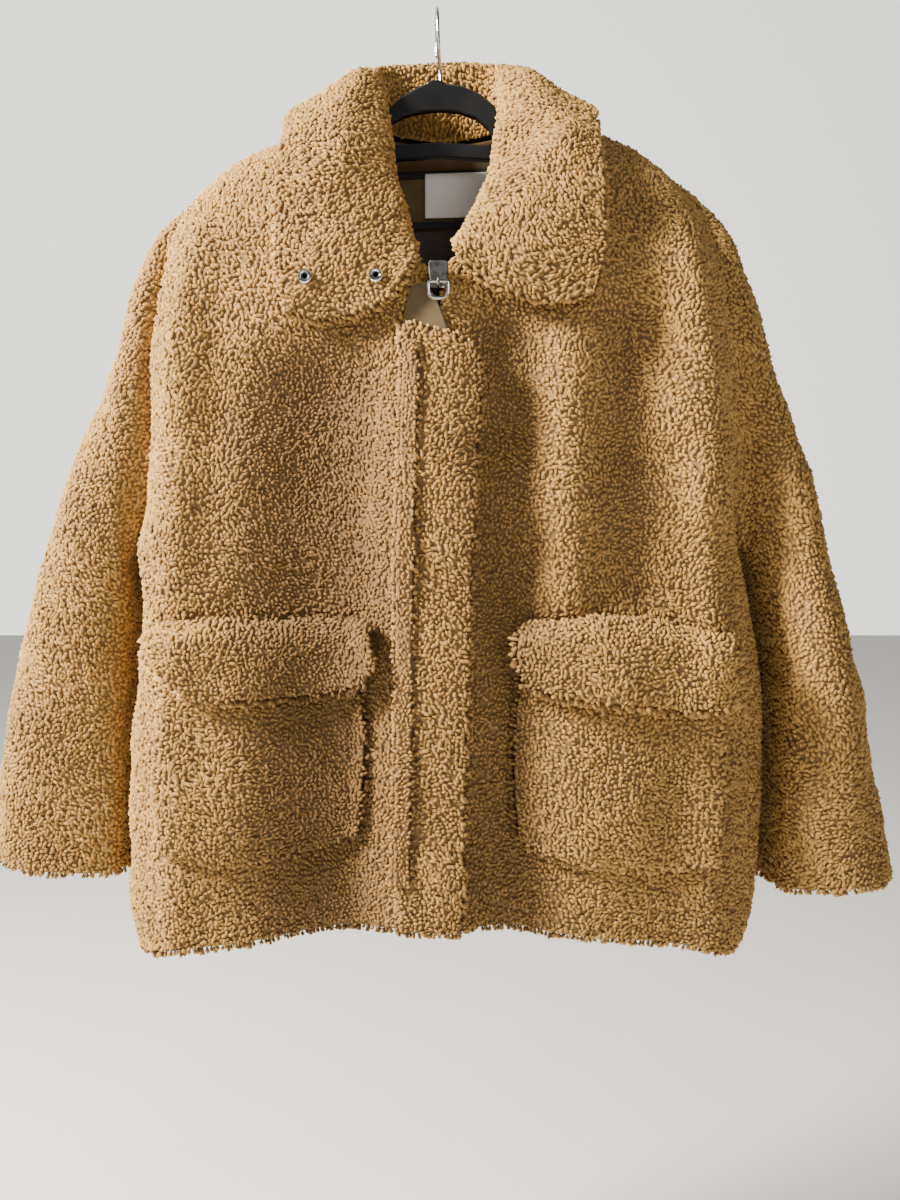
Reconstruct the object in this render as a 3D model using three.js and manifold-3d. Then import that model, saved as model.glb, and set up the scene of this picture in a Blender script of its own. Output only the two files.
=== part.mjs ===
// Faux fur coat on a clothes hanger. Millimetres, +Z up, +X to the right as seen from the front, -Y forward.
// The origin is the inner top of the hanger's hook.
import * as THREE from 'three';
import { mergeVertices } from 'three/addons/utils/BufferGeometryUtils.js';
import Module from 'manifold-3d';

const PILE_WALL = 9; // backing cloth with its pile
const COLLAR_WALL = 10;
const FLAP_WALL = 7;
const POCKET_WALL = 7;
const PLACKET_WALL = 7;
const LINING_WALL = 1.2;
const SEAM = 0.3;
const ON_CLOTH = 0.9; // air between a panel and what lies on it
const WIRE = 1.7; // radius of the hook's wire
const HOOK_RADIUS = 22;

const V = (p) => new THREE.Vector3(...p);
const lerp = (a, b, t) => a + (b - a) * t;
const clamp01 = (t) => Math.min(1, Math.max(0, t));

// ---- curves and grids ----

function spline(points, t) {
  const n = points.length - 1;
  const s = clamp01(t) * n;
  const k = Math.min(n - 1, Math.floor(s));
  const f = s - k;
  const at = (i) => points[Math.min(n, Math.max(0, i))];
  const [a, b, c, d] = [at(k - 1), at(k), at(k + 1), at(k + 2)];
  return b.map((_, i) => {
    const m0 = (c[i] - a[i]) / 2;
    const m1 = (d[i] - b[i]) / 2;
    const f2 = f * f;
    const f3 = f2 * f;
    return (2 * f3 - 3 * f2 + 1) * b[i] + (f3 - 2 * f2 + f) * m0
      + (3 * f2 - 2 * f3) * c[i] + (f3 - f2) * m1;
  });
}

const span = (n) => Array.from({ length: n + 1 }, (_, i) => i / n);

// rows of key points, resampled to nu by nv cells
function loft(keyRows, nu, nv, ease = (t) => t) {
  const rows = keyRows.map((row) => span(nu).map((u) => spline(row, ease(u))));
  return span(nv).map((v) => span(nu).map((_, i) => spline(rows.map((r) => r[i]), v)));
}

// a patch between four edge curves; far(v, k) is how far coordinate k has gone from bottom to top,
// near(i, k) how much it still follows the left and the right edge
function patch(bottom, top, left, right, nu, nv, far, near) {
  return span(nv).map((v) => span(nu).map((i) => [0, 1, 2].map((k) => {
    const ruled = (q) => lerp(bottom(q)[k], top(q)[k], far(v, k));
    const [a, b] = near(i, k);
    return ruled(i) + a * (left(v)[k] - ruled(0)) + b * (right(v)[k] - ruled(1));
  })));
}

function normalsOf(grid, ring) {
  const nv = grid.length - 1;
  const nu = grid[0].length - 1;
  return grid.map((row, j) => row.map((_, i) => {
    const a = ring ? (i === 0 ? nu - 1 : i - 1) : Math.max(0, i - 1);
    const b = ring ? (i === nu ? 1 : i + 1) : Math.min(nu, i + 1);
    const along = V(row[b]).sub(V(row[a]));
    const up = V(grid[Math.min(nv, j + 1)][i]).sub(V(grid[Math.max(0, j - 1)][i]));
    return along.cross(up).normalize();
  }));
}

// keeps the wall's rim from leaning towards the piece it is sewn to, and draws it back by half a seam
function trim(grid, normals, cells, towards) {
  const directions = cells.map((_, k) => towards(k).clone().normalize());
  cells.forEach(([j, i], k) => {
    const s = directions[k];
    const n = normals[j][i];
    const lean = n.dot(s);
    if (lean < 0) n.addScaledVector(s, -lean).normalize();
    grid[j][i] = V(grid[j][i]).addScaledVector(s, -SEAM * 0.7).toArray();
  });
}

const column = (grid, i, j0 = 0, j1 = grid.length - 1) => Array.from(
  { length: j1 - j0 + 1 }, (_, k) => [j0 + k, i],
);
const row = (grid, j, i0 = 0, i1 = grid[0].length - 1) => Array.from(
  { length: i1 - i0 + 1 }, (_, k) => [j, i0 + k],
);

function solid(positions, index) {
  const g = new THREE.BufferGeometry();
  g.setAttribute('position', new THREE.Float32BufferAttribute(positions.flat(), 3));
  let volume = 0;
  for (let k = 0; k < index.length; k += 3) {
    const [a, b, c] = [0, 1, 2].map((q) => V(positions[index[k + q]]));
    volume += a.dot(b.cross(c));
  }
  if (volume < 0) for (let k = 0; k < index.length; k += 3) index.splice(k, 2, index[k + 1], index[k]);
  g.setIndex(index);
  g.computeVertexNormals();
  return g;
}

// a closed wall: the grid is one face, the other lies `wall` behind it
function wallOf(grid, wall, { ring = false, normals = normalsOf(grid, ring), lift = 0 } = {}) {
  const nv = grid.length - 1;
  const nu = grid[0].length - 1;
  const wide = ring ? nu : nu + 1;
  const positions = [];
  [lift, lift - wall].forEach((d) => grid.forEach((r, j) => {
    for (let i = 0; i < wide; i += 1) {
      positions.push(V(r[i]).addScaledVector(normals[j][i], d).toArray());
    }
  }));
  const half = (nv + 1) * wide;
  const at = (side, j, i) => side * half + j * wide + (ring ? i % nu : i);
  const index = [];
  const quad = (a, b, c, d) => index.push(a, b, c, a, c, d);
  for (let j = 0; j < nv; j += 1) {
    for (let i = 0; i < nu; i += 1) {
      quad(at(0, j, i), at(0, j, i + 1), at(0, j + 1, i + 1), at(0, j + 1, i));
      quad(at(1, j, i), at(1, j + 1, i), at(1, j + 1, i + 1), at(1, j, i + 1));
    }
    if (!ring) {
      quad(at(0, j, 0), at(0, j + 1, 0), at(1, j + 1, 0), at(1, j, 0));
      quad(at(0, j, nu), at(1, j, nu), at(1, j + 1, nu), at(0, j + 1, nu));
    }
  }
  for (let i = 0; i < nu; i += 1) {
    quad(at(0, 0, i), at(1, 0, i), at(1, 0, i + 1), at(0, 0, i + 1));
    quad(at(0, nv, i), at(0, nv, i + 1), at(1, nv, i + 1), at(1, nv, i));
  }
  return solid(positions, index);
}

// ---- driving tables ----

// side outline below the armpit, hem first: x, y, z
const SIDE = {
  right: [[-291, -46, -886], [-296, -46, -838], [-296, -46, -779], [-292, -46, -704],
    [-283, -45, -632], [-278, -44, -561], [-281, -42, -505]],
  left: [[292, -46, -888], [304, -44, -862], [309, -43, -815], [312, -42, -714],
    [309, -42, -630], [297, -42, -565], [283, -42, -512]],
};
// armhole from armpit to shoulder tip: x, y in front, y behind, z
const ARMHOLE = {
  right: [[-281, -42, -42, -505], [-271, -52, 8, -462], [-266, -55, 24, -400], [-263, -56, 28, -330],
    [-254, -52, 27, -262], [-242, -34, 18, -203], [-225, 0, 0, -163]],
  left: [[283, -42, -42, -512], [276, -66, 8, -468], [271, -74, 24, -402], [267, -74, 28, -330],
    [261, -62, 27, -262], [250, -36, 18, -201], [234, 0, 0, -157]],
};
// shoulder seam from its tip to the neck, then the neckline down to the zip
const YOKE = {
  right: [[-225, 0, -163], [-178, 0, -130], [-130, 0, -112], [-84, -1, -97], [-74, -26, -128],
    [-58, -62, -182], [-36, -84, -232], [-5, -97, -263]],
  left: [[234, 0, -157], [188, 0, -124], [140, 0, -108], [92, -1, -95], [82, -26, -126],
    [66, -62, -180], [42, -84, -230], [5, -97, -263]],
};
const BACK_YOKE = [[-225, 0, -163], [-178, 0, -130], [-130, 0, -112], [-84, 1, -97], [-58, 30, -106],
  [-24, 38, -112], [28, 38, -112], [66, 30, -105], [92, 1, -95], [140, 0, -108], [188, 0, -124],
  [234, 0, -157]];
// the edge of each front at the zip, hem first: x, y, z
const ZIP_EDGE = [[-11, -119, -852], [-10, -121, -760], [-9, -122, -660], [-7, -122, -560],
  [-6, -121, -500], [-5, -119, -430], [-5, -114, -350], [-5, -107, -300], [-5, -97, -263]];
const ZIP_HALF_GAP = 5;
const ARMPIT_KEY = 4; // entry of ZIP_EDGE at the armpit
const HEM_SAG = { right: [-886, -872, -853], left: [-888, -866, -856] };
const BACK_Y = 30;

// soft folds: x and z of both ends, half width, depth; the same list serves front and back
const FOLDS = [
  [-92, -366, -84, -880, 58, -25], [-236, -240, -254, -880, 38, 14], [68, -330, 64, -880, 42, -16],
  [112, -330, 108, -540, 28, 9], [178, -310, 182, -540, 28, -10], [244, -250, 264, -880, 40, 17],
  [-266, -640, -262, -860, 16, -4], [-170, -640, -176, -880, 34, 4], [170, -640, 176, -880, 40, 4],
];
const foldAt = (x, z) => FOLDS.reduce((sum, [x0, z0, x1, z1, half, depth]) => {
  const t = clamp01(((x - x0) * (x1 - x0) + (z - z0) * (z1 - z0)) / ((x1 - x0) ** 2 + (z1 - z0) ** 2));
  const d = Math.hypot(x - lerp(x0, x1, t), z - lerp(z0, z1, t));
  return sum + depth * Math.exp(-((d / half) ** 2));
}, 0);

// sleeve sections: outer outline x z, inner outline x z, y in front, y behind, y of the inner outline, and how far
// the cloth behind it is tucked behind the body
const SLEEVE = {
  right: [[-262, -207, -289, -516, -62, 27, -38, 0], [-290, -268, -292, -530, -63, 27, -38, 30],
    [-312, -342, -292, -545, -63, 27, -38, 65], [-352, -428, -294, -580, -60, 28, -36, 95],
    [-384, -520, -298, -630, -60, 28, -36, 105], [-409, -610, -303, -690, -58, 27, -36, 90],
    [-432, -712, -306, -762, -56, 26, -36, 100], [-440, -770, -308, -800, -56, 26, -36, 100],
    [-443, -816, -310, -828, -56, 26, -36, 100]],
  left: [[271, -201, 292, -523, -66, 27, -38, 0], [299, -264, 297, -536, -70, 27, -40, 30],
    [321, -340, 302, -550, -78, 27, -44, 65], [354, -438, 310, -580, -88, 28, -52, 95],
    [377, -526, 318, -626, -96, 28, -60, 105], [400, -620, 324, -684, -100, 27, -62, 90],
    [420, -712, 322, -760, -100, 26, -62, 100], [435, -772, 321, -804, -98, 26, -62, 100],
    [446, -818, 322, -830, -96, 26, -62, 100]],
};
const UPPER = 11;
const AROUND = 2 * UPPER;
const SLEEVE_ROWS = 16;
const LOWER = 10;

// ---- body ----

const sideCurve = (side) => (v) => spline(SIDE[side], v);
const armCurve = (side, k) => (v) => {
  const p = spline(ARMHOLE[side], v);
  return [p[0], p[k], p[3]];
};
const zipCurve = (side, lower) => (v) => {
  const part = lower ? ZIP_EDGE.slice(0, ARMPIT_KEY + 1) : ZIP_EDGE.slice(ARMPIT_KEY);
  const p = spline(part, v);
  return [p[0] + (side === 'left' ? 5 + ZIP_HALF_GAP : 5 - ZIP_HALF_GAP), p[1], p[2]];
};
// from the side seam round to the front's edge
const across = (side, centre, sag) => (i) => {
  const e = spline(SIDE[side], sag ? 0 : 1);
  const a = (Math.PI / 2) * i;
  const level = sag ? spline(HEM_SAG[side].map((z) => [z]), i ** 1.4)[0] : lerp(e[2], centre[2], i);
  return [lerp(e[0], centre[0], 1 - Math.cos(a)), lerp(e[1], centre[1], Math.sin(a) ** 0.86), level];
};
const roundTop = (v, k) => (k === 1 ? 1 - (1 - v * v) ** 0.4 : v);
const steady = (v) => v;
const roundSide = (i) => 1 - Math.cos((Math.PI / 2) * i);

function frontGrid(side, nu) {
  const low = zipCurve(side, true);
  const high = zipCurve(side, false);
  const near = (i, k) => {
    const w = k === 1 ? Math.sin((Math.PI / 2) * i) ** 0.86 : roundSide(i);
    return [1 - w, w];
  };
  const lower = patch(across(side, low(0), true), across(side, low(1), false), sideCurve(side), low,
    nu, LOWER, steady, near);
  const upper = patch(across(side, high(0), false), (i) => spline(YOKE[side], i), armCurve(side, 1), high,
    nu, UPPER, roundTop, (i, k) => (k === 1 ? near(i, k) : [1 - i, i]));
  return [...lower.slice(0, -1), ...upper];
}

const swell = (grid, sign) => {
  const nu = grid[0].length - 1;
  const nv = grid.length - 1;
  return grid.map((r, j) => r.map((p, i) => {
    const edge = Math.min(1, Math.min(i, nu - i) / 2) * Math.min(1, (nv - j) / 3);
    return [p[0], p[1] - sign * foldAt(p[0], p[2]) * edge, p[2]];
  }));
};
const FRONT_CELLS = 14;
const BACK_CELLS = 22;
const fronts = {
  right: swell(frontGrid('right', FRONT_CELLS), 1),
  left: swell(frontGrid('left', FRONT_CELLS), 1),
};

function backGrid(nu) {
  const ends = (v, lower) => (lower
    ? [spline(SIDE.right, v), spline(SIDE.left, v)]
    : [armCurve('right', 2)(v), armCurve('left', 2)(v)]);
  const belt = (v) => (i) => {
    const [a, b] = ends(v, true);
    const w = (1 - Math.cos(Math.PI * i)) / 2;
    const s = Math.sin(Math.PI * i);
    const level = lerp(a[2], b[2], w) + (1 - v) * 16 * s;
    return [lerp(a[0], b[0], w), lerp(lerp(a[1], b[1], w), BACK_Y, s ** 0.7), level];
  };
  const near = (i, k) => {
    const turned = (1 - Math.cos(Math.PI * i)) / 2;
    if (k !== 1) return [1 - turned, turned];
    const w = 1 - Math.sin(Math.PI * i) ** 0.7;
    return i < 0.5 ? [w, 0] : [0, w];
  };
  const lower = patch(belt(0), belt(1), (v) => ends(v, true)[0], (v) => ends(v, true)[1],
    nu, LOWER, steady, near);
  const upper = patch(belt(1), (i) => spline(BACK_YOKE, i), (v) => ends(v, false)[0],
    (v) => ends(v, false)[1], nu, UPPER, roundTop, (i, k) => (k === 1 ? near(i, k) : [1 - i, i]));
  return [...lower.slice(0, -1), ...upper];
}
const back = swell(backGrid(BACK_CELLS), -0.5);

// the two fronts as one sheet, to place what lies on them
const frontSheet = fronts.right.map((r, j) => [...r, ...[...fronts.left[j]].reverse()]);
const frontSheetNormals = normalsOf(frontSheet);

function onGrid(grid, normals, x, z, lift) {
  let best = null;
  for (let j = 0; j < grid.length - 1; j += 1) {
    for (let i = 0; i < grid[0].length - 1; i += 1) {
      const [a, b, c, d] = [grid[j][i], grid[j][i + 1], grid[j + 1][i + 1], grid[j + 1][i]];
      const inX = x >= Math.min(a[0], b[0], c[0], d[0]) - 1 && x <= Math.max(a[0], b[0], c[0], d[0]) + 1;
      const inZ = z >= Math.min(a[2], b[2], c[2], d[2]) - 1 && z <= Math.max(a[2], b[2], c[2], d[2]) + 1;
      if (!inX || !inZ) continue;
      let [s, t] = [0.5, 0.5];
      const mix = (k) => lerp(lerp(a[k], b[k], s), lerp(d[k], c[k], s), t);
      for (let n = 0; n < 12; n += 1) {
        const [ex, ez] = [x - mix(0), z - mix(2)];
        const sx = lerp(b[0] - a[0], c[0] - d[0], t);
        const sz = lerp(b[2] - a[2], c[2] - d[2], t);
        const tx = lerp(d[0] - a[0], c[0] - b[0], s);
        const tz = lerp(d[2] - a[2], c[2] - b[2], s);
        const det = sx * tz - sz * tx || 1e-9;
        s += (ex * tz - ez * tx) / det;
        t += (sx * ez - sz * ex) / det;
      }
      const miss = Math.max(0, -s, s - 1, -t, t - 1);
      if (!best || miss < best.miss) best = { miss, i, j, s: clamp01(s), t: clamp01(t), y: mix(1) };
    }
  }
  if (!best) return null;
  const { i, j, s, t } = best;
  const n = new THREE.Vector3();
  [[0, 0, (1 - s) * (1 - t)], [1, 0, s * (1 - t)], [1, 1, s * t], [0, 1, (1 - s) * t]].forEach(([di, dj, w]) => {
    n.addScaledVector(normals[j + dj][i + di], w);
  });
  n.normalize();
  return { point: V([x, best.y, z]).addScaledVector(n, lift).toArray(), normal: n };
}
const onFront = (x, z, lift = 0) => onGrid(frontSheet, frontSheetNormals, x, z, lift);

// from a body panel to its sleeve, square to the armhole as seen from the front
const SHOULDER_SIGN = { right: -1, left: 1 };
function armholeSide(side, points, k) {
  const a = V(points[Math.max(0, k - 1)]);
  const b = V(points[Math.min(points.length - 1, k + 1)]);
  const t = b.sub(a).setY(0).normalize();
  const s = new THREE.Vector3(t.z, 0, -t.x);
  return s.x * SHOULDER_SIGN[side] < 0 ? s.negate() : s;
}

function panelGeometry(source, sides, rear) {
  const grid = source.map((r) => r.map((p) => [...p]));
  const normals = normalsOf(grid);
  const out = rear ? 1 : -1;
  if (normals[LOWER][5].y * out < 0) normals.forEach((r) => r.forEach((n) => n.negate()));
  const nv = grid.length - 1;
  const nu = grid[0].length - 1;
  const seamDir = () => new THREE.Vector3(0, rear ? -1 : 1, 0);
  sides.forEach(([i, side]) => {
    const s = V(side === 'right' ? [-1, 0, 0] : [1, 0, 0]);
    column(grid, i, 0, LOWER).forEach(([j]) => normals[j][i].copy(s));
    trim(grid, normals, column(grid, i, 0, LOWER), seamDir);
    const rim = column(grid, i, LOWER, nv);
    const points = rim.map(([j, k]) => [...grid[j][k]]);
    trim(grid, normals, rim.slice(1), (k) => armholeSide(side, points, k + 1));
  });
  const yokeEnds = rear ? [[0, 6], [nu - 6, nu]] : [[0, 6]];
  yokeEnds.forEach(([i0, i1]) => {
    for (let i = i0; i <= i1; i += 1) {
      const a = V(grid[nv][Math.max(i0, i - 1)]);
      const b = V(grid[nv][Math.min(i1, i + 1)]);
      const along = b.sub(a).setY(0).normalize();
      normals[nv][i].set(-along.z, 0, along.x);
      if (normals[nv][i].z < 0) normals[nv][i].negate();
      grid[nv][i][1] = 0;
    }
    trim(grid, normals, row(grid, nv, i0, i1), seamDir);
  });
  return wallOf(grid, PILE_WALL, { normals });
}

// ---- assembly ----

const group = new THREE.Group();
group.name = 'faux_fur_coat_on_hanger';
const paint = (name, color, roughness, metalness = 0) => Object.assign(
  new THREE.MeshStandardMaterial({ color, roughness, metalness }), { name },
);
const fur = paint('camel_pile', 0xb98a52, 0.95);
const facing = paint('tan_facing', 0xa9794c, 0.85);
const darkLining = paint('dark_lining', 0x3a2c26, 0.7);
const tape = paint('black_tape', 0x16161a, 0.8);
const labelCloth = paint('white_label', 0xdfe0e2, 0.7);
const chrome = paint('polished_metal', 0xc9c7c2, 0.25, 1);
const darkMetal = paint('dark_metal', 0x4b4846, 0.35, 1);
const plastic = paint('black_plastic', 0x0d0d0f, 0.35);
const steel = paint('steel_wire', 0x9a9a9a, 0.3, 1);

function add(name, geometry, material, parent = group) {
  const mesh = new THREE.Mesh(geometry, material);
  mesh.name = name;
  parent.add(mesh);
  return mesh;
}

add('front_right', panelGeometry(fronts.right, [[0, 'right']], false), fur);
add('front_left', panelGeometry(fronts.left, [[0, 'left']], false), fur);
add('back', panelGeometry(back, [[0, 'right'], [BACK_CELLS, 'left']], true), fur);

// ---- sleeves ----

function sleeveGrid(side) {
  const half = AROUND / 2;
  const hole = span(AROUND).map((_, i) => {
    const p = spline(ARMHOLE[side], i <= half ? i / half : (AROUND - i) / half);
    return [p[0], i <= half ? p[1] : p[2], p[3]];
  });
  const rings = SLEEVE[side].map(([xo, zo, xi, zi, front, rear, yi, tuck]) => span(AROUND).map((_, i) => {
    const s = Math.sin((2 * Math.PI * i) / AROUND);
    const w = (1 - Math.cos((2 * Math.PI * i) / AROUND)) / 2;
    const edge = lerp(yi, -12, w);
    const inwards = -SHOULDER_SIGN[side] * tuck * Math.max(0, -s) ** 2 * (1 - w) ** 2;
    return [lerp(xi, xo, w) + inwards, lerp(edge, s > 0 ? front : rear, Math.abs(s) ** 0.8), lerp(zi, zo, w)];
  }));
  const keys = [hole, ...rings];
  return span(SLEEVE_ROWS).map((v) => span(AROUND).map((_, i) => spline(keys.map((r) => r[i]), v)));
}

const sleeves = { right: sleeveGrid('right'), left: sleeveGrid('left') };
['right', 'left'].forEach((side) => {
  const grid = sleeves[side].map((r) => [...r]);
  const normals = normalsOf(grid, true);
  const centre = grid.map((r) => r.slice(0, -1).reduce((c, p) => c.add(V(p)), new THREE.Vector3()).divideScalar(AROUND));
  const outward = V(grid[9][0]).sub(centre[9]).dot(normals[9][0]) > 0;
  if (!outward) normals.forEach((r) => r.forEach((n) => n.negate()));
  const rim = grid[0].slice(0, UPPER + 1).map((p) => [...p]);
  trim(grid, normals, row(grid, 0), (i) => armholeSide(side, rim, i > UPPER ? AROUND - i : i).negate());
  add(`sleeve_${side}`, wallOf(grid, PILE_WALL, { ring: true, normals }), fur);
});

// ---- collar: from one front corner of the neck round the back to the other ----
// each station runs from the neck seam up the stand, over the roll and down the fall; a null y lies on the front
const COLLAR = [
  [[-11, -76, -244], [-12, -90, -240], [-18, -111, -256], [-40, null, -296], [-92, null, -312], [-131, null, -303]],
  [[-29, -57, -222], [-21, -70, -220], [-23, -95, -226], [-58, null, -250], [-100, null, -266], [-139, null, -268]],
  [[-50, -44, -178], [-37, -50, -174], [-34, -72, -176], [-66, null, -194], [-100, null, -214], [-141, null, -222]],
  [[-62, -20, -132], [-47, -22, -126], [-42, -40, -118], [-80, -68, -130], [-108, -76, -148], [-139, -82, -170]],
  [[-68, 0, -100], [-54, 0, -86], [-51, -4, -60], [-76, -14, -58], [-110, -20, -80], [-139, -26, -99]],
  [[-60, 16, -96], [-50, 14, -80], [-56, 10, -46], [-80, 18, -46], [-108, 20, -74], [-134, 16, -98]],
  [[-40, 30, -100], [-38, 26, -80], [-42, 22, -37], [-54, 44, -37], [-70, 56, -82], [-88, 54, -134]],
  [[4, 37, -104], [4, 30, -80], [4, 24, -33], [4, 50, -33], [4, 64, -86], [4, 60, -150]],
  [[48, 30, -100], [46, 26, -80], [50, 22, -36], [62, 44, -36], [80, 56, -82], [98, 54, -134]],
  [[68, 16, -96], [58, 14, -80], [64, 10, -44], [90, 18, -46], [118, 20, -72], [144, 16, -94]],
  [[76, 0, -99], [62, 0, -86], [60, -4, -60], [86, -14, -58], [118, -20, -78], [149, -26, -95]],
  [[70, -20, -130], [58, -22, -124], [56, -40, -118], [94, null, -134], [118, -78, -146], [149, -82, -166]],
  [[58, -44, -176], [48, -50, -172], [46, -72, -174], [78, null, -192], [112, null, -210], [150, null, -218]],
  [[35, -57, -220], [28, -70, -218], [30, -95, -224], [66, null, -246], [110, null, -256], [148, null, -256]],
  [[15, -76, -244], [15, -92, -239], [20, -114, -254], [50, null, -284], [100, null, -296], [139, null, -290]],
];
const collarGrid = loft(COLLAR.map((station) => station.map(([x, y, z]) => [
  x, y === null ? onFront(x, z).point[1] - COLLAR_WALL - 6 : y, z,
])), 10, 28);
const collarNormals = normalsOf(collarGrid);
if (collarNormals[14][8].y < 0) collarNormals.forEach((r) => r.forEach((n) => n.negate()));
add('collar', wallOf(collarGrid, COLLAR_WALL, { normals: collarNormals }), fur);

// ---- what lies on the fronts ----

// outline rows of x and z, lower row first, laid on the fronts and moved out
function laid(rows, nu, nv, lift, bulge = 0) { // lift may change with the row and the column
  const flat = loft(rows, nu, nv);
  const places = flat.map((r) => r.map(([x, z]) => onFront(x, z)));
  const normals = places.map((r) => r.map((p) => p.normal));
  const grid = places.map((r, j) => r.map((p, i) => {
    const swelling = bulge * Math.sin((Math.PI * i) / nu) * Math.sin((Math.PI * j) / nv);
    const out = typeof lift === 'function' ? lift(j / nv, i / nu) : lift;
    return V(p.point).addScaledVector(p.normal, out + swelling).toArray();
  }));
  return { grid, normals };
}
function addLaid(name, rows, nu, nv, wall, { lift = ON_CLOTH, bulge = 0, material = fur, parent = group } = {}) {
  const top = typeof lift === 'function' ? (v, u) => lift(v, u) + wall : lift + wall;
  const { grid, normals } = laid(rows, nu, nv, top, bulge);
  return add(name, wallOf(grid, wall, { normals }), material, parent);
}

const PLACKET = [
  [[-33, -852], [-20, -852], [0, -852], [24, -852]],
  [[-31, -760], [-18, -760], [3, -760], [26, -760]],
  [[-30, -640], [-16, -640], [5, -640], [29, -640]],
  [[-28, -520], [-13, -520], [8, -520], [32, -520]],
  [[-26, -430], [-11, -430], [12, -430], [35, -430]],
  [[-25, -375], [-10, -372], [14, -370], [40, -366]],
  [[-29, -316], [-17, -318], [8, -324], [36, -340]],
];
const PLACKET_LIFT = 6; // how far its free edge stands off
const placketLift = (v, u) => ON_CLOTH + PLACKET_LIFT * Math.max(0, u - 0.4) ** 1.5 / 0.6 ** 1.5;
addLaid('placket', PLACKET, 6, 26, PLACKET_WALL, { lift: placketLift });
const RIDGE = [
  [[-35, -808], [-21, -808]], [[-33, -700], [-19, -700]], [[-32, -560], [-17, -560]],
  [[-29, -440], [-15, -440]], [[-27, -360], [-12, -358]], [[-28, -330], [-16, -330]],
];
addLaid('placket_ridge', RIDGE, 2, 22, 3, { lift: ON_CLOTH + PLACKET_WALL + 0.5 });

const POCKET = {
  right: [[[-248, -782], [-200, -790], [-150, -789], [-104, -784], [-68, -766]],
    [[-252, -740], [-200, -742], [-150, -742], [-104, -740], [-62, -722]],
    [[-248, -690], [-200, -692], [-150, -692], [-104, -690], [-60, -676]],
    [[-240, -600], [-200, -600], [-150, -600], [-104, -600], [-66, -600]]],
  left: [[[74, -772], [116, -788], [164, -794], [212, -796], [252, -790]],
    [[68, -722], [116, -734], [164, -740], [212, -742], [256, -742]],
    [[68, -674], [116, -684], [164, -690], [212, -692], [256, -694]],
    [[78, -600], [116, -600], [164, -602], [212, -604], [254, -608]]],
};
const FLAP = {
  right: [[[-214, -645], [-180, -645], [-130, -643], [-86, -638], [-52, -628]],
    [[-250, -606], [-196, -606], [-140, -606], [-88, -604], [-44, -602]],
    [[-248, -570], [-196, -570], [-140, -570], [-88, -569], [-56, -569]]],
  left: [[[82, -628], [116, -639], [162, -645], [214, -650], [256, -650]],
    [[72, -602], [116, -606], [162, -608], [214, -610], [260, -612]],
    [[76, -571], [116, -567], [162, -566], [214, -574], [260, -584]]],
};
// a flap rides over its pocket and is sewn down at its top
const POCKET_BULGE = 6;
const overPocket = (v) => (v > 0.9 ? ON_CLOTH + 0.4 : ON_CLOTH + POCKET_WALL + 1.9 + 0.75 * POCKET_BULGE * Math.min(1, (0.9 - v) * 2.5));
['right', 'left'].forEach((side) => {
  addLaid(`pocket_${side}`, POCKET[side], 14, 8, POCKET_WALL, { bulge: POCKET_BULGE, lift: 1.1 });
  addLaid(`pocket_flap_${side}`, FLAP[side], 14, 5, FLAP_WALL, { lift: overPocket, bulge: 2 });
});

const FACING = [[[-27, -308], [-20, -309], [-8, -311], [14, -314]], [[-24, -296], [-16, -296], [-8, -296], [2, -296]],
  [[-19, -282], [-14, -281], [-11, -281], [-8, -281]]];
addLaid('placket_facing', FACING, 5, 6, 1.4, { lift: 0.7, material: facing });

// ---- zip ----

const zipRows = (x0, x1, top, n = 3) => [-851, -760, -660, -560, -500, -430, -350, -300, top].map((z) => span(n).map((t) => [lerp(x0, x1, t) + spline(ZIP_EDGE.map((p) => [p[0] + 5]), clamp01((z + 852) / 589))[0], z]));
addLaid('zip_chain', zipRows(-2.6, 2.6, -284, 2), 2, 18, 2.8, { lift: -10, material: darkMetal });
['right', 'left'].forEach((side) => {
  const [a, b] = side === 'right' ? [-12.5, -3] : [3, 12.5];
  const { grid, normals } = laid(zipRows(a, b, -263, 2), 2, 18, -PILE_WALL - 0.6);
  add(`zip_tape_${side}`, wallOf(grid, 1.1, { normals }), tape);
});

// ---- neck: lining, tapes and label, seen past the collar ----

const backNormals = normalsOf(back).map((r) => r.map((n) => (n.y < 0 ? n.negate() : n)));
function inside(rows, nu, nv, depth, wall) {
  const flat = loft(rows, nu, nv);
  const places = flat.map((r) => r.map(([x, z]) => onGrid(back, backNormals, x, z, 0)));
  const grid = places.map((r) => r.map((p) => V(p.point).addScaledVector(p.normal, -PILE_WALL - depth).toArray()));
  return wallOf(grid, wall, { normals: places.map((r) => r.map((p) => p.normal)) });
}
const box = (x0, x1, z0, z1, tilt = 0) => [[[x0, z0], [x1, z0 + tilt]], [[x0, z1], [x1, z1 + tilt]]];
add('lining', inside(box(-96, 108, -420, -196.6), 11, 12, 1.7, LINING_WALL), darkLining);
add('neck_facing', inside(box(-78, 86, -195.6, -124), 6, 3, 0.9, LINING_WALL), facing);
add('tape_upper', inside(box(-46, 58, -146, -139, 4), 6, 1, 2.7, 0.9), tape);
add('tape_lower', inside(box(-46, 58, -196, -188, 4), 6, 1, 2.7, 0.9), tape);
add('neck_label', inside(box(-12, 51, -184, -141, 2), 4, 3, 4.1, 0.7), labelCloth);

// ---- slider, pull and snaps ----

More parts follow.
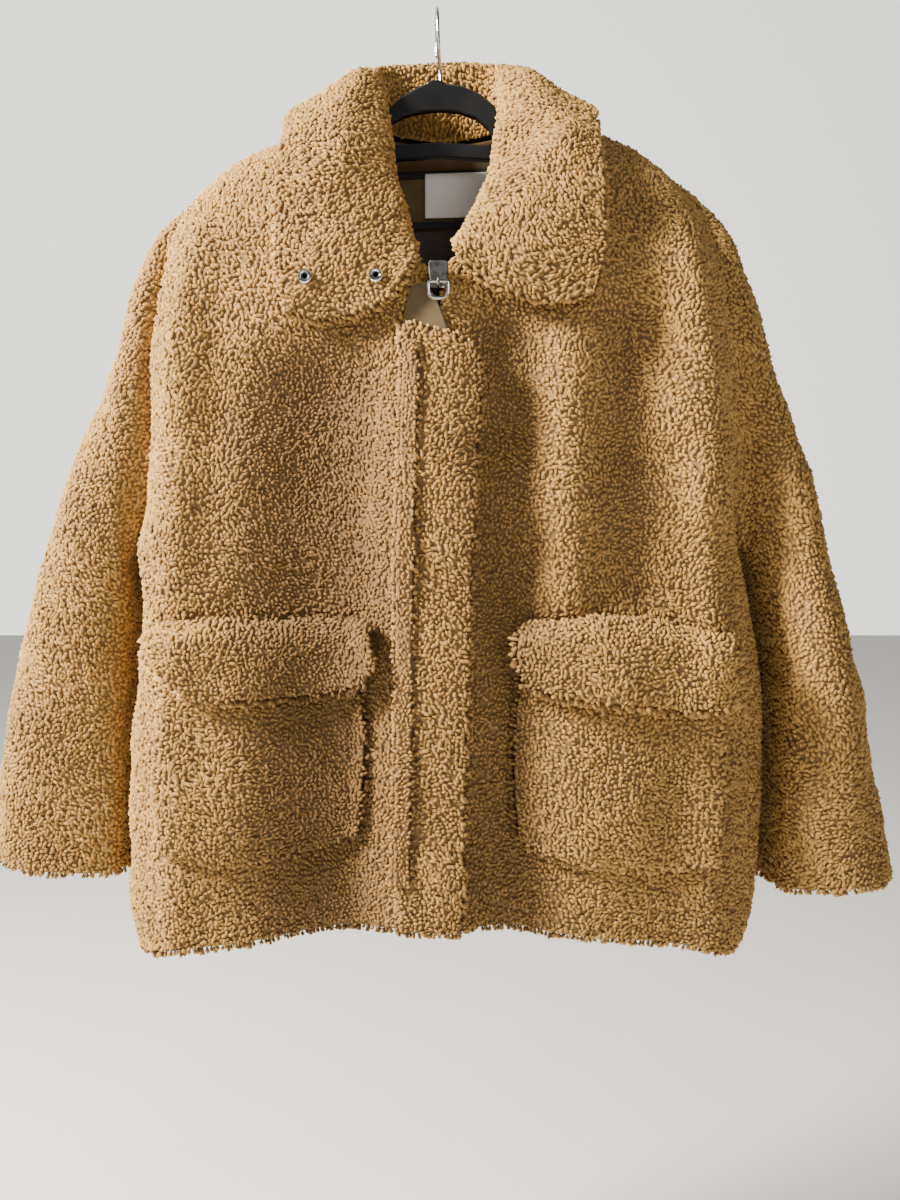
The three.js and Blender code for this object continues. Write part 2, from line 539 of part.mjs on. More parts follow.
const wasm = await Module();
wasm.setup();
function toSolid(geometry) {
  const g = geometry.clone();
  g.deleteAttribute('normal');
  g.deleteAttribute('uv');
  const m = mergeVertices(g, 1e-4);
  return new wasm.Manifold(new wasm.Mesh({
    numProp: 3, vertProperties: m.attributes.position.array, triVerts: new Uint32Array(m.index.array),
  }));
}
function joined(geometries) {
  const mesh = geometries.map(toSolid).reduce((a, b) => a.add(b)).getMesh();
  const g = new THREE.BufferGeometry();
  g.setAttribute('position', new THREE.BufferAttribute(new Float32Array(mesh.vertProperties), 3));
  g.setIndex(new THREE.BufferAttribute(new Uint32Array(mesh.triVerts), 1));
  return g;
}

// a round bar along a path; closed joins its ends
function bar(points, radius, sides, closed = false) {
  const n = points.length;
  const at = (k) => V(points[closed ? (k + n) % n : Math.min(n - 1, Math.max(0, k))]);
  const positions = [];
  let across0 = null;
  for (let k = 0; k < n; k += 1) {
    const t = at(k + 1).sub(at(k - 1)).normalize();
    if (!across0) {
      across0 = Math.abs(t.x) < 0.9 ? new THREE.Vector3(1, 0, 0) : new THREE.Vector3(0, 1, 0);
    }
    const a = across0.clone().addScaledVector(t, -across0.dot(t)).normalize();
    across0 = a;
    const b = t.clone().cross(a);
    for (let i = 0; i < sides; i += 1) {
      const q = (2 * Math.PI * i) / sides;
      positions.push(at(k).addScaledVector(a, radius * Math.cos(q)).addScaledVector(b, radius * Math.sin(q)).toArray());
    }
  }
  const index = [];
  for (let k = 0; k < (closed ? n : n - 1); k += 1) {
    const next = (k + 1) % n;
    for (let i = 0; i < sides; i += 1) {
      const [a, b] = [k * sides + i, k * sides + (i + 1) % sides];
      const [c, d] = [next * sides + (i + 1) % sides, next * sides + i];
      index.push(a, b, c, a, c, d);
    }
  }
  if (!closed) {
    for (let i = 1; i < sides - 1; i += 1) {
      index.push(0, i + 1, i);
      index.push((n - 1) * sides, (n - 1) * sides + i, (n - 1) * sides + i + 1);
    }
  }
  return solid(positions, index);
}

const PULL = { x: 3, y: -112.4, z: -280.5, wide: 20, tall: 15.5, radius: 1.6 };
const SLIDER = { top: -262, bottom: -285, front: -110, depth: 6.5, wide: 17, narrow: 13 };

const sliderFace = new THREE.Shape();
sliderFace.moveTo(PULL.x - SLIDER.wide / 2 + 1.5, SLIDER.top);
sliderFace.lineTo(PULL.x + SLIDER.wide / 2 - 1.5, SLIDER.top);
sliderFace.lineTo(PULL.x + SLIDER.wide / 2, SLIDER.top - 2);
sliderFace.lineTo(PULL.x + SLIDER.wide / 2 - 0.4, SLIDER.top - 10);
sliderFace.lineTo(PULL.x + SLIDER.narrow / 2, SLIDER.bottom);
sliderFace.lineTo(PULL.x - SLIDER.narrow / 2, SLIDER.bottom);
sliderFace.lineTo(PULL.x - SLIDER.wide / 2 + 0.4, SLIDER.top - 10);
sliderFace.lineTo(PULL.x - SLIDER.wide / 2, SLIDER.top - 2);
const upright = (shape, depth, frontY, bevel) => new THREE.ExtrudeGeometry(shape, {
  depth: depth - 2 * bevel, bevelEnabled: bevel > 0, bevelThickness: bevel, bevelSize: bevel,
  bevelOffset: -bevel, bevelSegments: 1, curveSegments: 8,
}).rotateX(Math.PI / 2).translate(0, frontY + depth - bevel, 0);
const bridgeReach = PULL.radius + 0.7 + 1.2;
const bridge = span(8).map((t) => {
  const a = Math.PI * t;
  return [PULL.x, PULL.y - bridgeReach * Math.sin(a), PULL.z + bridgeReach * Math.cos(a)];
});
const bridgePath = [[PULL.x, SLIDER.front + 2, PULL.z + bridgeReach], ...bridge,
  [PULL.x, SLIDER.front + 2, PULL.z - bridgeReach]];
const stem = new THREE.BoxGeometry(3, 8, 14).translate(PULL.x, SLIDER.front + SLIDER.depth + 3.4, SLIDER.top - 9);
add('zip_slider', joined([upright(sliderFace, SLIDER.depth, SLIDER.front, 0.8), bar(bridgePath, 1.2, 8), stem]), darkMetal);

const ringPath = [];
const corner = 5.5;
[[1, 1, 2.2], [1, -1, corner], [-1, -1, corner], [-1, 1, 2.2]].forEach(([sx, sz, r]) => {
  const [hx, hz] = [PULL.wide / 2 - PULL.radius, PULL.tall / 2];
  const start = { '11': Math.PI / 2, '1-1': 0, '-1-1': -Math.PI / 2, '-11': Math.PI }[`${sx}${sz}`];
  span(4).forEach((t) => {
    const a = start - (Math.PI / 2) * t;
    ringPath.push([PULL.x + sx * (hx - r) + r * Math.cos(a), PULL.y,
      PULL.z - hz + PULL.radius * 0.5 + sz * (hz - PULL.radius * 0.5 - r) + r * Math.sin(a)]);
  });
});
const pullGroup = new THREE.Group();
pullGroup.name = 'zip_pull_group';
group.add(pullGroup);
add('zip_pull', bar(ringPath, PULL.radius, 10, true), chrome, pullGroup);

const wing = collarGrid.slice(0, 9).map((r) => r.slice(4));
const wingNormals = collarNormals.slice(0, 9).map((r) => r.slice(4));
const SNAPS = { snap_outer: [-111, -276], snap_inner: [-50, -277] };
const SNAP_RADIUS = 6.2;
Object.entries(SNAPS).forEach(([name, [x, z]]) => {
  const { point, normal } = onGrid(wing, wingNormals, x, z, 0.9);
  const profile = [[0, 0], [5.6, 0], [SNAP_RADIUS, 0.7], [SNAP_RADIUS, 1.5], [5.4, 2.5], [4.2, 2.5], [3.3, 1.3], [0, 1.1]];
  const g = new THREE.LatheGeometry(profile.map(([r, h]) => new THREE.Vector2(r, h)), 16);
  g.applyQuaternion(new THREE.Quaternion().setFromUnitVectors(new THREE.Vector3(0, 1, 0), normal));
  add(name, joined([g.translate(...point)]), chrome);
});

// ---- hanger ----

const HANGER_DEPTH = 8;
const outline = [[-5, -62], [5, -62], [9, -65.5], [26, -68], [42, -75], [56, -86], [74, -110], [92, -121], [140, -133],
  [186, -151], [203, -163], [207, -171], [201, -177], [190, -175], [140, -158], [96, -145], [60, -137], [4, -133.5],
  [-52, -137], [-88, -146], [-132, -159], [-180, -179], [-192, -181], [-198, -175], [-194, -167], [-177, -155],
  [-132, -136], [-84, -122], [-66, -110], [-48, -91], [-34, -78], [-18, -69], [-9, -65.5]];
const hangerShape = new THREE.Shape(outline.map(([x, z]) => new THREE.Vector2(x, z)));
const slot = [[-58, -113], [-46, -103], [-30, -95], [-12, -91], [4, -90], [22, -91.5], [38, -97], [50, -107], [55, -114],
  [54, -120], [48, -122.5], [4, -120], [-50, -122.5], [-58, -120]];
hangerShape.holes.push(new THREE.Path([...slot].reverse().map(([x, z]) => new THREE.Vector2(x, z))));
add('hanger_body', upright(hangerShape, HANGER_DEPTH, -HANGER_DEPTH / 2, 1.2), plastic);

const hookCentre = -HOOK_RADIUS;
const hookPath = [[4.2, 0, -61.6], [3.8, 0, -56], [3.3, -1, -51.5], [2.8, -7, -46.6]];
for (let deg = 228; deg >= -14; deg -= 11) {
  const a = (deg * Math.PI) / 180;
  const r = HOOK_RADIUS + WIRE;
  hookPath.push([2.3 * clamp01((deg - 60) / 170), Math.cos(a) * r, hookCentre + Math.sin(a) * r]);
}
add('hanger_hook', bar(hookPath, WIRE, 10), steel);

export default group;
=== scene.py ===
# %% [markdown]
# # A faux fur coat on a clothes hanger
# The coat is curly knitted pile: every panel is a thin ground cloth, and thousands of short, bent locks stand on it.
# Each panel is therefore made in two steps. First comes the cloth, a thin closed shell on the form of its CAD
# solid. Then locks are scattered over it with Geometry Nodes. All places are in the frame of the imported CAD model.

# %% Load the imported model
import math

import bpy
import numpy as np
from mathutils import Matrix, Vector
from mathutils.bvhtree import BVHTree


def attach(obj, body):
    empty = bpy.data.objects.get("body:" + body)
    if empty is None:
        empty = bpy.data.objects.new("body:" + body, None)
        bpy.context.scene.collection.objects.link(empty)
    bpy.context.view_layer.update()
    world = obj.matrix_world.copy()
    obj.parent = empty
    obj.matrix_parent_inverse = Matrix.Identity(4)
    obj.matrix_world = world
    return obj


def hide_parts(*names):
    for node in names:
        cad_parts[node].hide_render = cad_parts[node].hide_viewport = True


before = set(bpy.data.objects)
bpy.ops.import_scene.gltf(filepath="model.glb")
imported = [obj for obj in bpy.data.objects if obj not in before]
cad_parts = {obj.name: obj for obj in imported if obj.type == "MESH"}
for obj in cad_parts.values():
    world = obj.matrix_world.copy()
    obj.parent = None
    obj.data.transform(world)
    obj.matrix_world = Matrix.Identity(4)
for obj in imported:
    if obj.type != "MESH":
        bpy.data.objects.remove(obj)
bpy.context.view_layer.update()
MM = 0.001

# %% [markdown]
# ## Camera
# The photograph was taken from about 0.9 m, at the height of the coat's middle, looking a little down. A lens of
# 27 mm on a 36 mm long side gives that wide view.

# %% Camera
CAMERA_PLACE, LOOKS_DOWN = (0.013, -0.900, -0.4956), 4.2
LENS, LONG_SIDE = 27.03, 36.0


def add_object(name, data):
    """Puts a mesh, a light or the camera into the scene."""
    thing = bpy.data.objects.new(name, data)
    bpy.context.scene.collection.objects.link(thing)
    return thing


camera = add_object("camera", bpy.data.cameras.new("camera"))
camera.data.lens, camera.data.sensor_width = LENS, LONG_SIDE
camera.location, camera.rotation_euler = CAMERA_PLACE, (math.radians(90 - LOOKS_DOWN), 0, 0)
bpy.context.scene.camera = camera
print("camera at", tuple(camera.location))

# %% [markdown]
# ## Node trees written as sums
# Materials and Geometry Nodes are both trees of nodes. A small class wraps an output socket, so that `1 - mask`
# adds the Math node it stands for, and one method makes every other node.


# %% A socket that takes part in sums
class Value:
    def __init__(self, tree, socket):
        self.tree, self.socket = tree, socket

    def maths(self, operation, *terms):
        return self.tree.node("ShaderNodeMath", {"operation": operation}, dict(enumerate(terms)))

    def __add__(self, other):
        return self.maths("ADD", self, other)

    def __sub__(self, other):
        return self.maths("SUBTRACT", self, other)

    def __rsub__(self, other):
        return self.maths("SUBTRACT", other, self)

    def __mul__(self, other):
        return self.maths("MULTIPLY", self, other)

    __radd__, __rmul__ = __add__, __mul__


# %% A tree with one method for every kind of node
class Tree:
    def __init__(self, tree):
        self.tree = tree

    def node(self, kind, settings=None, values=None, out=0):
        node = self.tree.nodes.new(kind)
        for key, setting in (settings or {}).items():
            if key == "stops":
                fit_stops(node.color_ramp, setting)
            else:
                setattr(node, key, setting)
        open_inputs = [s for s in node.inputs if s.enabled]
        for key, value in (values or {}).items():
            socket = open_inputs[key] if isinstance(key, int) else next(s for s in open_inputs if s.name == key)
            for each in value if isinstance(value, list) else [value]:
                if isinstance(each, Value):
                    self.tree.links.new(each.socket, socket)
                else:
                    socket.default_value = each
        open_outputs = [s for s in node.outputs if s.enabled]
        return Value(self, open_outputs[out] if isinstance(out, int) else
                     next(s for s in open_outputs if s.name == out))


def fit_stops(ramp, stops):
    while len(ramp.elements) < len(stops):
        ramp.elements.new(0.5)
    for element, (place, colour) in zip(ramp.elements, stops):
        element.position, element.color = place, (*colour, 1)


# %% A material tree round one Principled shader
class Finish(Tree):
    def __init__(self, name, **constants):
        self.material = bpy.data.materials.new(name)
        self.material.use_nodes = True
        super().__init__(self.material.node_tree)
        self.shader = next(n for n in self.tree.nodes if n.type == "BSDF_PRINCIPLED")
        for key, value in constants.items():
            self.entry(key).default_value = value

    def entry(self, key):
        return self.shader.inputs[key.replace("_", " ").title().replace("Ior", "IOR")]

    def feed(self, **values):
        for key, value in values.items():
            self.tree.links.new(value.socket, self.entry(key))
        return self.material

    def place(self):
        return self.node("ShaderNodeTexCoord", out="Object")

    def attribute(self, name, out="Fac"):
        return self.node("ShaderNodeAttribute", {"attribute_name": name}, out=out)

    def noise(self, vector, scale, detail=2.0, rough=0.5):
        return self.node("ShaderNodeTexNoise", None, {"Vector": vector, "Scale": scale, "Detail": detail,
                                                      "Roughness": rough})

    def ramp(self, amount, *stops):
        return self.node("ShaderNodeValToRGB", {"stops": stops}, {0: amount})

    def blend(self, amount, first, second, how="MIX"):
        return self.node("ShaderNodeMix", {"data_type": "RGBA", "blend_type": how},
                         {"Factor": amount, "A": first, "B": second})

    def stretched(self, vector, size):
        return self.node("ShaderNodeMapping", None, {"Vector": vector, "Scale": size})

    def bump(self, height, depth, strength=1.0, under=None):
        values = {"Height": height, "Distance": depth, "Strength": strength}
        if under:
            values["Normal"] = under
        return self.node("ShaderNodeBump", None, values)


# %% A Geometry Nodes group with named inputs
class GrowTree(Tree):
    """Grows instances on what it is given; its last steps make them real meshes and give them their finish."""

    def __init__(self, name, source, sizes):
        self.group = bpy.data.node_groups.new(name, "GeometryNodeTree")
        super().__init__(self.group)
        for key, value in {source: "Geometry", **sizes, "Finish": "Material"}.items():
            kind = {float: "Float", int: "Int"}.get(type(value), value)
            socket = self.group.interface.new_socket(key, in_out="INPUT", socket_type="NodeSocket" + kind)
            if kind != value:
                socket.default_value = value
        self.group.interface.new_socket("Meshes", in_out="OUTPUT", socket_type="NodeSocketGeometry")
        entry = self.group.nodes.new("NodeGroupInput")
        self.given = {s.name: Value(self, s) for s in entry.outputs if s.name}

    def end(self, instances):
        real = self.node("GeometryNodeRealizeInstances", None, {"Geometry": instances})
        done = self.node("GeometryNodeSetMaterial", None, {"Geometry": real, "Material": self.given["Finish"]})
        self.group.links.new(done.socket, self.group.nodes.new("NodeGroupOutput").inputs[0])
        return self

    def grow_on(self, thing, **inputs):
        """The mesh that grows on an object, which itself is thrown away."""
        modifier = thing.modifiers.new(self.group.name, "NODES")
        modifier.node_group = self.group
        for item in self.group.interface.items_tree:
            if item.in_out == "INPUT" and item.name in inputs:
                modifier[item.identifier] = inputs[item.name]
        mesh = bpy.data.meshes.new_from_object(thing.evaluated_get(bpy.context.evaluated_depsgraph_get()))
        bpy.data.objects.remove(thing)
        return mesh


print("tree helpers ready")

# %% [markdown]
# ## The pile's finish
# Each lock carries four attributes. `tip` runs from 0 in the ground cloth to 1 at the lock's end, and `tone` is one
# random number for the whole lock. `deep` is high in the troughs of the folds, where the pile is short and fine and
# its colour is darkened as painted shade, and `rim` is 1 on a rolled edge, where the colour is lifted as a painted
# highlight. The fibre is golden tan; along `tip` its colour darkens towards the root as painted shade. A very fine
# noise stands for the single fibres, which are thinner than any mesh could be.

# %% Pile finish
# colours along a lock: the two darker ones, at its root and lower part, are painted shade; the two lighter are the
# fibre's own golden tan
PAINTED_ROOT_SHADE, SHADE, FIBRE, FIBRE_END = (0.09, 0.045, 0.012), (0.25, 0.140, 0.044), (0.43, 0.247, 0.072), (0.55, 0.325, 0.092)
SHEEN_TINT = (1.0, 0.72, 0.40, 1)
# how far the pile's colour is darkened in a trough: painted shade
TROUGH_SHADE = 0.46


def pile_finish():
    f = Finish("camel_pile", roughness=0.86, sheen_weight=0.08, sheen_roughness=0.5, sheen_tint=SHEEN_TINT,
               specular_ior_level=0.25)
    place = f.place()
    # the colour darkens towards the root and in the troughs: painted shade
    depth = f.ramp(f.attribute("tip") - f.attribute("deep") * TROUGH_SHADE, (0.0, PAINTED_ROOT_SHADE), (0.45, SHADE),
                   (0.68, FIBRE), (1.0, FIBRE_END))
    drift = f.noise(place, 9.0, 3.0)
    # random tone and slow drift are the fibre's own; the lift on a rolled edge (`rim`) is a painted highlight
    tone = f.attribute("tone") * 0.20 + drift * 0.34 + f.attribute("rim") * 0.16 + 0.73
    toned = f.blend(1.0, depth, f.node("ShaderNodeCombineColor", None, {0: tone, 1: tone * 0.99, 2: tone * 0.97}),
                    "MULTIPLY")
    fibre = f.noise(f.stretched(place, (1.0, 1.0, 0.5)), 1500.0, 1.0)
    return f.feed(base_color=toned, normal=f.bump(fibre, 0.0006, 0.5))


PILE = pile_finish()

# %% [markdown]
# ## Curves and grids
# The panels have the same rules as the CAD solids, only with more points: a smooth spline runs through a few key
# points, and a panel is stretched between its four edges.


# %% Splines, lofts and patches
def spline(keys, t):
    """A smooth curve through the keys; t is an array from 0 to 1."""
    keys = np.asarray(keys, float)
    n = len(keys) - 1
    s = np.clip(np.asarray(t, float), 0, 1) * n
    k = np.minimum(n - 1, np.floor(s)).astype(int)
    f = (s - k)[..., None]
    a, b, c, d = (keys[np.clip(k + step, 0, n)] for step in (-1, 0, 1, 2))
    return ((2 * f**3 - 3 * f**2 + 1) * b + (f**3 - 2 * f**2 + f) * (c - a) / 2
            + (3 * f**2 - 2 * f**3) * c + (f**3 - f**2) * (d - b) / 2)


def mix(a, b, t):
    return a + (b - a) * t


def unit(v):
    return v / np.maximum(np.linalg.norm(v, axis=-1, keepdims=True), 1e-9)


def loft(key_rows, u, v):
    rows = np.array([spline(row, u) for row in key_rows])
    return np.stack([spline(rows[:, i], v) for i in range(len(u))], axis=1)


def patch(bottom, top, left, right, far, near):
    """A panel between four edges; far and near say how much each coordinate follows them."""
    ruled = bottom[None] + far[:, None] * (top - bottom)[None]
    follow_left, follow_right = near
    return ruled + follow_left[None] * (left[:, None] - ruled[:, :1]) + follow_right[None] * (
        right[:, None] - ruled[:, -1:])


def normals_of(grid, ring=False):
    if ring:
        along = np.roll(grid, -1, 1) - np.roll(grid, 1, 1)
    else:
        along = np.gradient(grid, axis=1)
    return unit(np.cross(along, np.gradient(grid, axis=0)))


def middle(grid):
    return grid.shape[0] // 2, grid.shape[1] // 2


def facing(normals, point, direction):
    """The normals, all turned over if the one at a point of the grid looks away from a direction."""
    return -normals if np.dot(normals[point], direction) < 0 else normals


# %% [markdown]
# ## The body's measures
# These tables are in millimetres and are those of the CAD part: side seams, armholes, shoulder and neck lines, the
# fronts' edges at the zip, and the soft folds in which the cloth hangs.

# %% Tables of the body
SIDE = {
    "right": [[-291, -46, -886], [-296, -46, -838], [-296, -46, -779], [-292, -46, -704], [-283, -45, -632],
              [-278, -44, -561], [-281, -42, -505]],
    "left": [[292, -46, -888], [304, -44, -862], [309, -43, -815], [312, -42, -714], [309, -42, -630],
             [297, -42, -565], [283, -42, -512]],
}
ARMHOLE = {
    "right": [[-281, -42, -42, -505], [-271, -52, 8, -462], [-266, -55, 24, -400], [-263, -56, 28, -330],
              [-254, -52, 27, -262], [-242, -34, 18, -203], [-225, 0, 0, -163]],
    "left": [[283, -42, -42, -512], [276, -66, 8, -468], [271, -74, 24, -402], [267, -74, 28, -330],
             [261, -62, 27, -262], [250, -36, 18, -201], [234, 0, 0, -157]],
}
YOKE = {
    "right": [[-225, 0, -163], [-178, 0, -130], [-130, 0, -112], [-84, -1, -97], [-74, -26, -128],
              [-58, -62, -182], [-36, -84, -232], [-5, -97, -263]],
    "left": [[234, 0, -157], [188, 0, -124], [140, 0, -108], [92, -1, -95], [82, -26, -126],
             [66, -62, -180], [42, -84, -230], [5, -97, -263]],
}
BACK_YOKE = [[-225, 0, -163], [-178, 0, -130], [-130, 0, -112], [-84, 1, -97], [-58, 30, -106], [-24, 38, -112],
             [28, 38, -112], [66, 30, -105], [92, 1, -95], [140, 0, -108], [188, 0, -124], [234, 0, -157]]
ZIP_EDGE = [[-11, -119, -852], [-10, -121, -760], [-9, -122, -660], [-7, -122, -560], [-6, -121, -500],
            [-5, -119, -430], [-5, -114, -350], [-5, -107, -300], [-5, -97, -263]]
ARMPIT_KEY, ZIP_FOOT, ZIP_LENGTH, ZIP_GAP = 4, -852, 589, 10
BACK_Y, BACK_SAG = 30, 16
FRONT_ROUND, BACK_ROUND = 0.86, 0.7  # powers of a sine: below 1 the sheet is fuller than an oval
HEM_SAG = {"right": [[-886], [-872], [-853]], "left": [[-888], [-866], [-856]]}
# soft folds: x and z of both ends, half width, depth
FOLDS = [
    [-92, -366, -84, -880, 58, -25], [-236, -240, -254, -880, 38, 14], [68, -330, 64, -880, 42, -16],
    [112, -330, 108, -540, 28, 9], [178, -310, 182, -540, 28, -10], [244, -250, 264, -880, 40, 17],
    [-266, -640, -262, -860, 16, -4], [-170, -640, -176, -880, 34, 4], [170, -640, 176, -880, 40, 4],
]
# finer creases that the CAD solids leave out
CREASES = [[-146, -400, -150, -880, 46, -9], [150, -430, 144, -560, 16, -3], [214, -420, 226, -600, 16, -4],
           [-196, -300, -206, -520, 18, -4], [40, -420, 52, -600, 14, -3], [113, -340, 108, -530, 30, -3]]
SIGN = {"right": -1, "left": 1}


# %% Rules of the body
def fold_at(x, z):
    total = np.zeros_like(x)
    for x0, z0, x1, z1, half, depth in FOLDS + CREASES:
        along = ((x - x0) * (x1 - x0) + (z - z0) * (z1 - z0)) / ((x1 - x0) ** 2 + (z1 - z0) ** 2)
        along = np.clip(along, 0, 1)
        d = np.hypot(x - mix(x0, x1, along), z - mix(z0, z1, along))
        total += depth * np.exp(-((d / half) ** 2))
    return total


def swell(grid, sign, u, rise, cells):
    """Adds the folds; they fade out towards the seams."""
    weight = np.minimum(1, np.minimum(u, 1 - u) * cells / 2)[None] * np.minimum(1, (1 - rise) * 11 / 3)[:, None]
    out = grid.copy()
    out[..., 1] -= sign * fold_at(grid[..., 0], grid[..., 2]) * weight
    return out


def arm_curve(side, k, v):
    p = spline(ARMHOLE[side], v)
    return np.stack([p[:, 0], p[:, k], p[:, 3]], axis=1)


def zip_curve(side, v, lower):
    p = spline(ZIP_EDGE[:ARMPIT_KEY + 1] if lower else ZIP_EDGE[ARMPIT_KEY:], v)
    p[:, 0] += ZIP_GAP if side == "left" else 0
    return p


def across(side, centre, sag, u):
    """From the side seam round to the front's edge."""
    e = np.array(SIDE[side][0 if sag else -1], float)
    a = math.pi / 2 * u
    level = spline(HEM_SAG[side], u**1.4)[:, 0] if sag else mix(e[2], centre[2], u)
    round_y = mix(e[1], centre[1], np.sin(a) ** FRONT_ROUND)
    return np.stack([mix(e[0], centre[0], 1 - np.cos(a)), round_y, level], axis=1)


def far_of(v, rounded):
    far = np.repeat(v[:, None], 3, axis=1)
    if rounded:
        far[:, 1] = 1 - (1 - v * v) ** 0.4
    return far


def front_grid(side, u, v_low, v_high):
    turned = np.sin(math.pi / 2 * u) ** FRONT_ROUND
    w = np.repeat((1 - np.cos(math.pi / 2 * u))[:, None], 3, axis=1)
    w[:, 1] = turned
    straight = np.repeat(u[:, None], 3, axis=1)
    straight[:, 1] = turned
    corner = {lower: zip_curve(side, np.array([0.0, 1.0]), lower) for lower in (True, False)}
    lower = patch(across(side, corner[True][0], True, u), across(side, corner[True][1], False, u),
                  spline(SIDE[side], v_low), zip_curve(side, v_low, True), far_of(v_low, False), (1 - w, w))
    upper = patch(across(side, corner[False][0], False, u), spline(YOKE[side], u), arm_curve(side, 1, v_high),
                  zip_curve(side, v_high, False), far_of(v_high, True), (1 - straight, straight))
    grid = np.concatenate([lower[:-1], upper])
    return swell(grid, 1, u, np.concatenate([v_low[:-1] * 0, v_high]), 14)


def back_grid(u, v_low, v_high):
    s = np.sin(math.pi * u)

    def belt(v):
        a, b = spline(SIDE["right"], v), spline(SIDE["left"], v)
        w = (1 - np.cos(math.pi * u)) / 2
        return np.stack([mix(a[0], b[0], w), mix(mix(a[1], b[1], w), BACK_Y, s**BACK_ROUND),
                         mix(a[2], b[2], w) + (1 - v) * BACK_SAG * s], axis=1)

    left_half = u < 0.5
    turned = np.repeat(((1 - np.cos(math.pi * u)) / 2)[:, None], 3, axis=1)
    straight = np.repeat(u[:, None], 3, axis=1)
    near = []
    for weight in (turned, straight):
        first, last = 1 - weight, weight.copy()
        first[:, 1] = np.where(left_half, 1 - s**BACK_ROUND, 0)
        last[:, 1] = np.where(left_half, 0, 1 - s**BACK_ROUND)
        near.append((first, last))
    lower = patch(belt(0.0), belt(1.0), spline(SIDE["right"], v_low), spline(SIDE["left"], v_low),
                  far_of(v_low, False), near[0])
    upper = patch(belt(1.0), spline(BACK_YOKE, u), arm_curve("right", 2, v_high), arm_curve("left", 2, v_high),
                  far_of(v_high, True), near[1])
    grid = np.concatenate([lower[:-1], upper])
    return swell(grid, -0.5, u, np.concatenate([v_low[:-1] * 0, v_high]), 22)


# %% [markdown]
# ## Meshes from grids
# A panel's ground cloth is a closed shell: its outer face, its inner face, and a rim round the four edges. The
# skin on which the locks stand is the outer face alone, with its free edges rolled over by a quarter turn.


# %% Meshes from grids
def grid_faces(rows, columns, ring=False, start=0):
    wide = columns if ring else columns - 1
    j, i = np.meshgrid(np.arange(rows - 1), np.arange(wide), indexing="ij")
    k = (i + 1) % columns
    return start + np.stack([j * columns + i, j * columns + k, (j + 1) * columns + k, (j + 1) * columns + i],
                            axis=-1).reshape(-1, 4)


def make_mesh(name, points, faces, finish=None, **attributes):
    mesh = bpy.data.meshes.new(name)
    mesh.from_pydata((np.asarray(points).reshape(-1, 3) * MM).tolist(), [], [list(map(int, f)) for f in faces])
    for key, values in attributes.items():
        values = np.asarray(values, np.float32)
        kind = "FLOAT_VECTOR" if values.shape[-1] == 3 and values.ndim > 1 else "FLOAT"
        mesh.attributes.new(key, kind, "POINT").data.foreach_set(
            "vector" if kind == "FLOAT_VECTOR" else "value", values.ravel())
    mesh.polygons.foreach_set("use_smooth", [True] * len(mesh.polygons))
    piece = add_object(name, mesh)
    if finish:
        mesh.materials.append(finish)
        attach(piece, "coat")
    return piece


def signed_volume(points, faces):
    quads = points.reshape(-1, 3)[np.asarray(faces)]
    a, b, c, d = (quads[:, k] for k in range(4))
    return float((np.einsum("ij,ij->i", a, np.cross(b, c)) + np.einsum("ij,ij->i", a, np.cross(c, d))).sum())


def shell(name, outer, inner, finish, ring=False, lined=True, deep=None):
    """A closed wall between two grids of the same size; `lined` marks its inner face as the dark lining."""
    rows, columns = outer.shape[:2]
    half = rows * columns
    back_side = grid_faces(rows, columns, ring, half)[:, ::-1]
    border = []
    for j in (0, rows - 1):
        row = j * columns + np.arange(columns + 1 if ring else columns) % columns
        border.append(row if j == 0 else row[::-1])
    if not ring:
        border.append(np.arange(rows)[::-1] * columns)
        border.append(np.arange(rows) * columns + columns - 1)
    rim = np.concatenate([np.stack([b[1:], b[:-1], b[:-1] + half, b[1:] + half], axis=-1) for b in border])
    faces = np.concatenate([grid_faces(rows, columns, ring), back_side, rim])
    points = np.concatenate([outer.reshape(-1, 3), inner.reshape(-1, 3)])
    if signed_volume(points, faces) < 0:
        faces = faces[:, ::-1]
    dark = np.ones((rows, columns)) * lined
    dark[[0, -1]] = 0
    if not ring:
        dark[:, [0, -1]] = 0
    extra = {} if deep is None else {"deep": np.concatenate([deep.ravel(), np.zeros(half)])}
    return make_mesh(name, points, faces, finish, inside=np.concatenate([np.zeros(half), dark.ravel()]), **extra)


# %% [markdown]
# ## Where and how the locks lie
# The pile is combed mostly downwards, but wanders in soft whorls. A few random waves added together give such a
# slow, smooth wandering. Near a free edge the locks turn outwards and are longer, as a fringe.


# %% Skins for the pile
def waves(points, length, seed):
    """A smooth random field, about -1 to 1, whose swells are `length` mm long."""
    rng = np.random.default_rng(seed)
    total = np.zeros(points.shape[:-1])
    for _ in range(8):
        k = rng.normal(size=3)
        k *= 2 * math.pi / (length * rng.uniform(0.7, 1.6) * np.linalg.norm(k))
        total += np.sin(points @ k + rng.uniform(0, 2 * math.pi))
    return total / 2.8


ROLL_RADIUS, ROLL_STEPS = 2.2, 3
# lengths in mm of the wandering's waves, and how far each turns the locks, in degrees
WHORL, WHORL_TURN = 95, 55
RUFFLE, RUFFLE_TURN = 30, 20
STRETCH_LENGTH = 60


def roll_over(grid, normals, rim, axis, end):
    """Adds rows or columns that roll an edge over by a quarter turn, and marks them as rim."""
    order = -1 if end == 0 else 1
    g, n, r = (np.moveaxis(a, axis, 0)[::order] for a in (grid, normals, rim))
    out = unit(g[-1] - g[-2])
    rolled = [(g[-1] + out * ROLL_RADIUS * math.sin(angle) - n[-1] * ROLL_RADIUS * (1 - math.cos(angle)),
               unit(n[-1] * math.cos(angle) + out * math.sin(angle)), np.ones_like(r[-1]))
              for angle in np.radians(90) * np.arange(1, ROLL_STEPS + 1) / ROLL_STEPS]
    longer = (np.concatenate([a, np.array(rows)]) for a, rows in zip((g, n, r), zip(*rolled)))
    return tuple(np.moveaxis(a[::order], 0, axis) for a in longer)


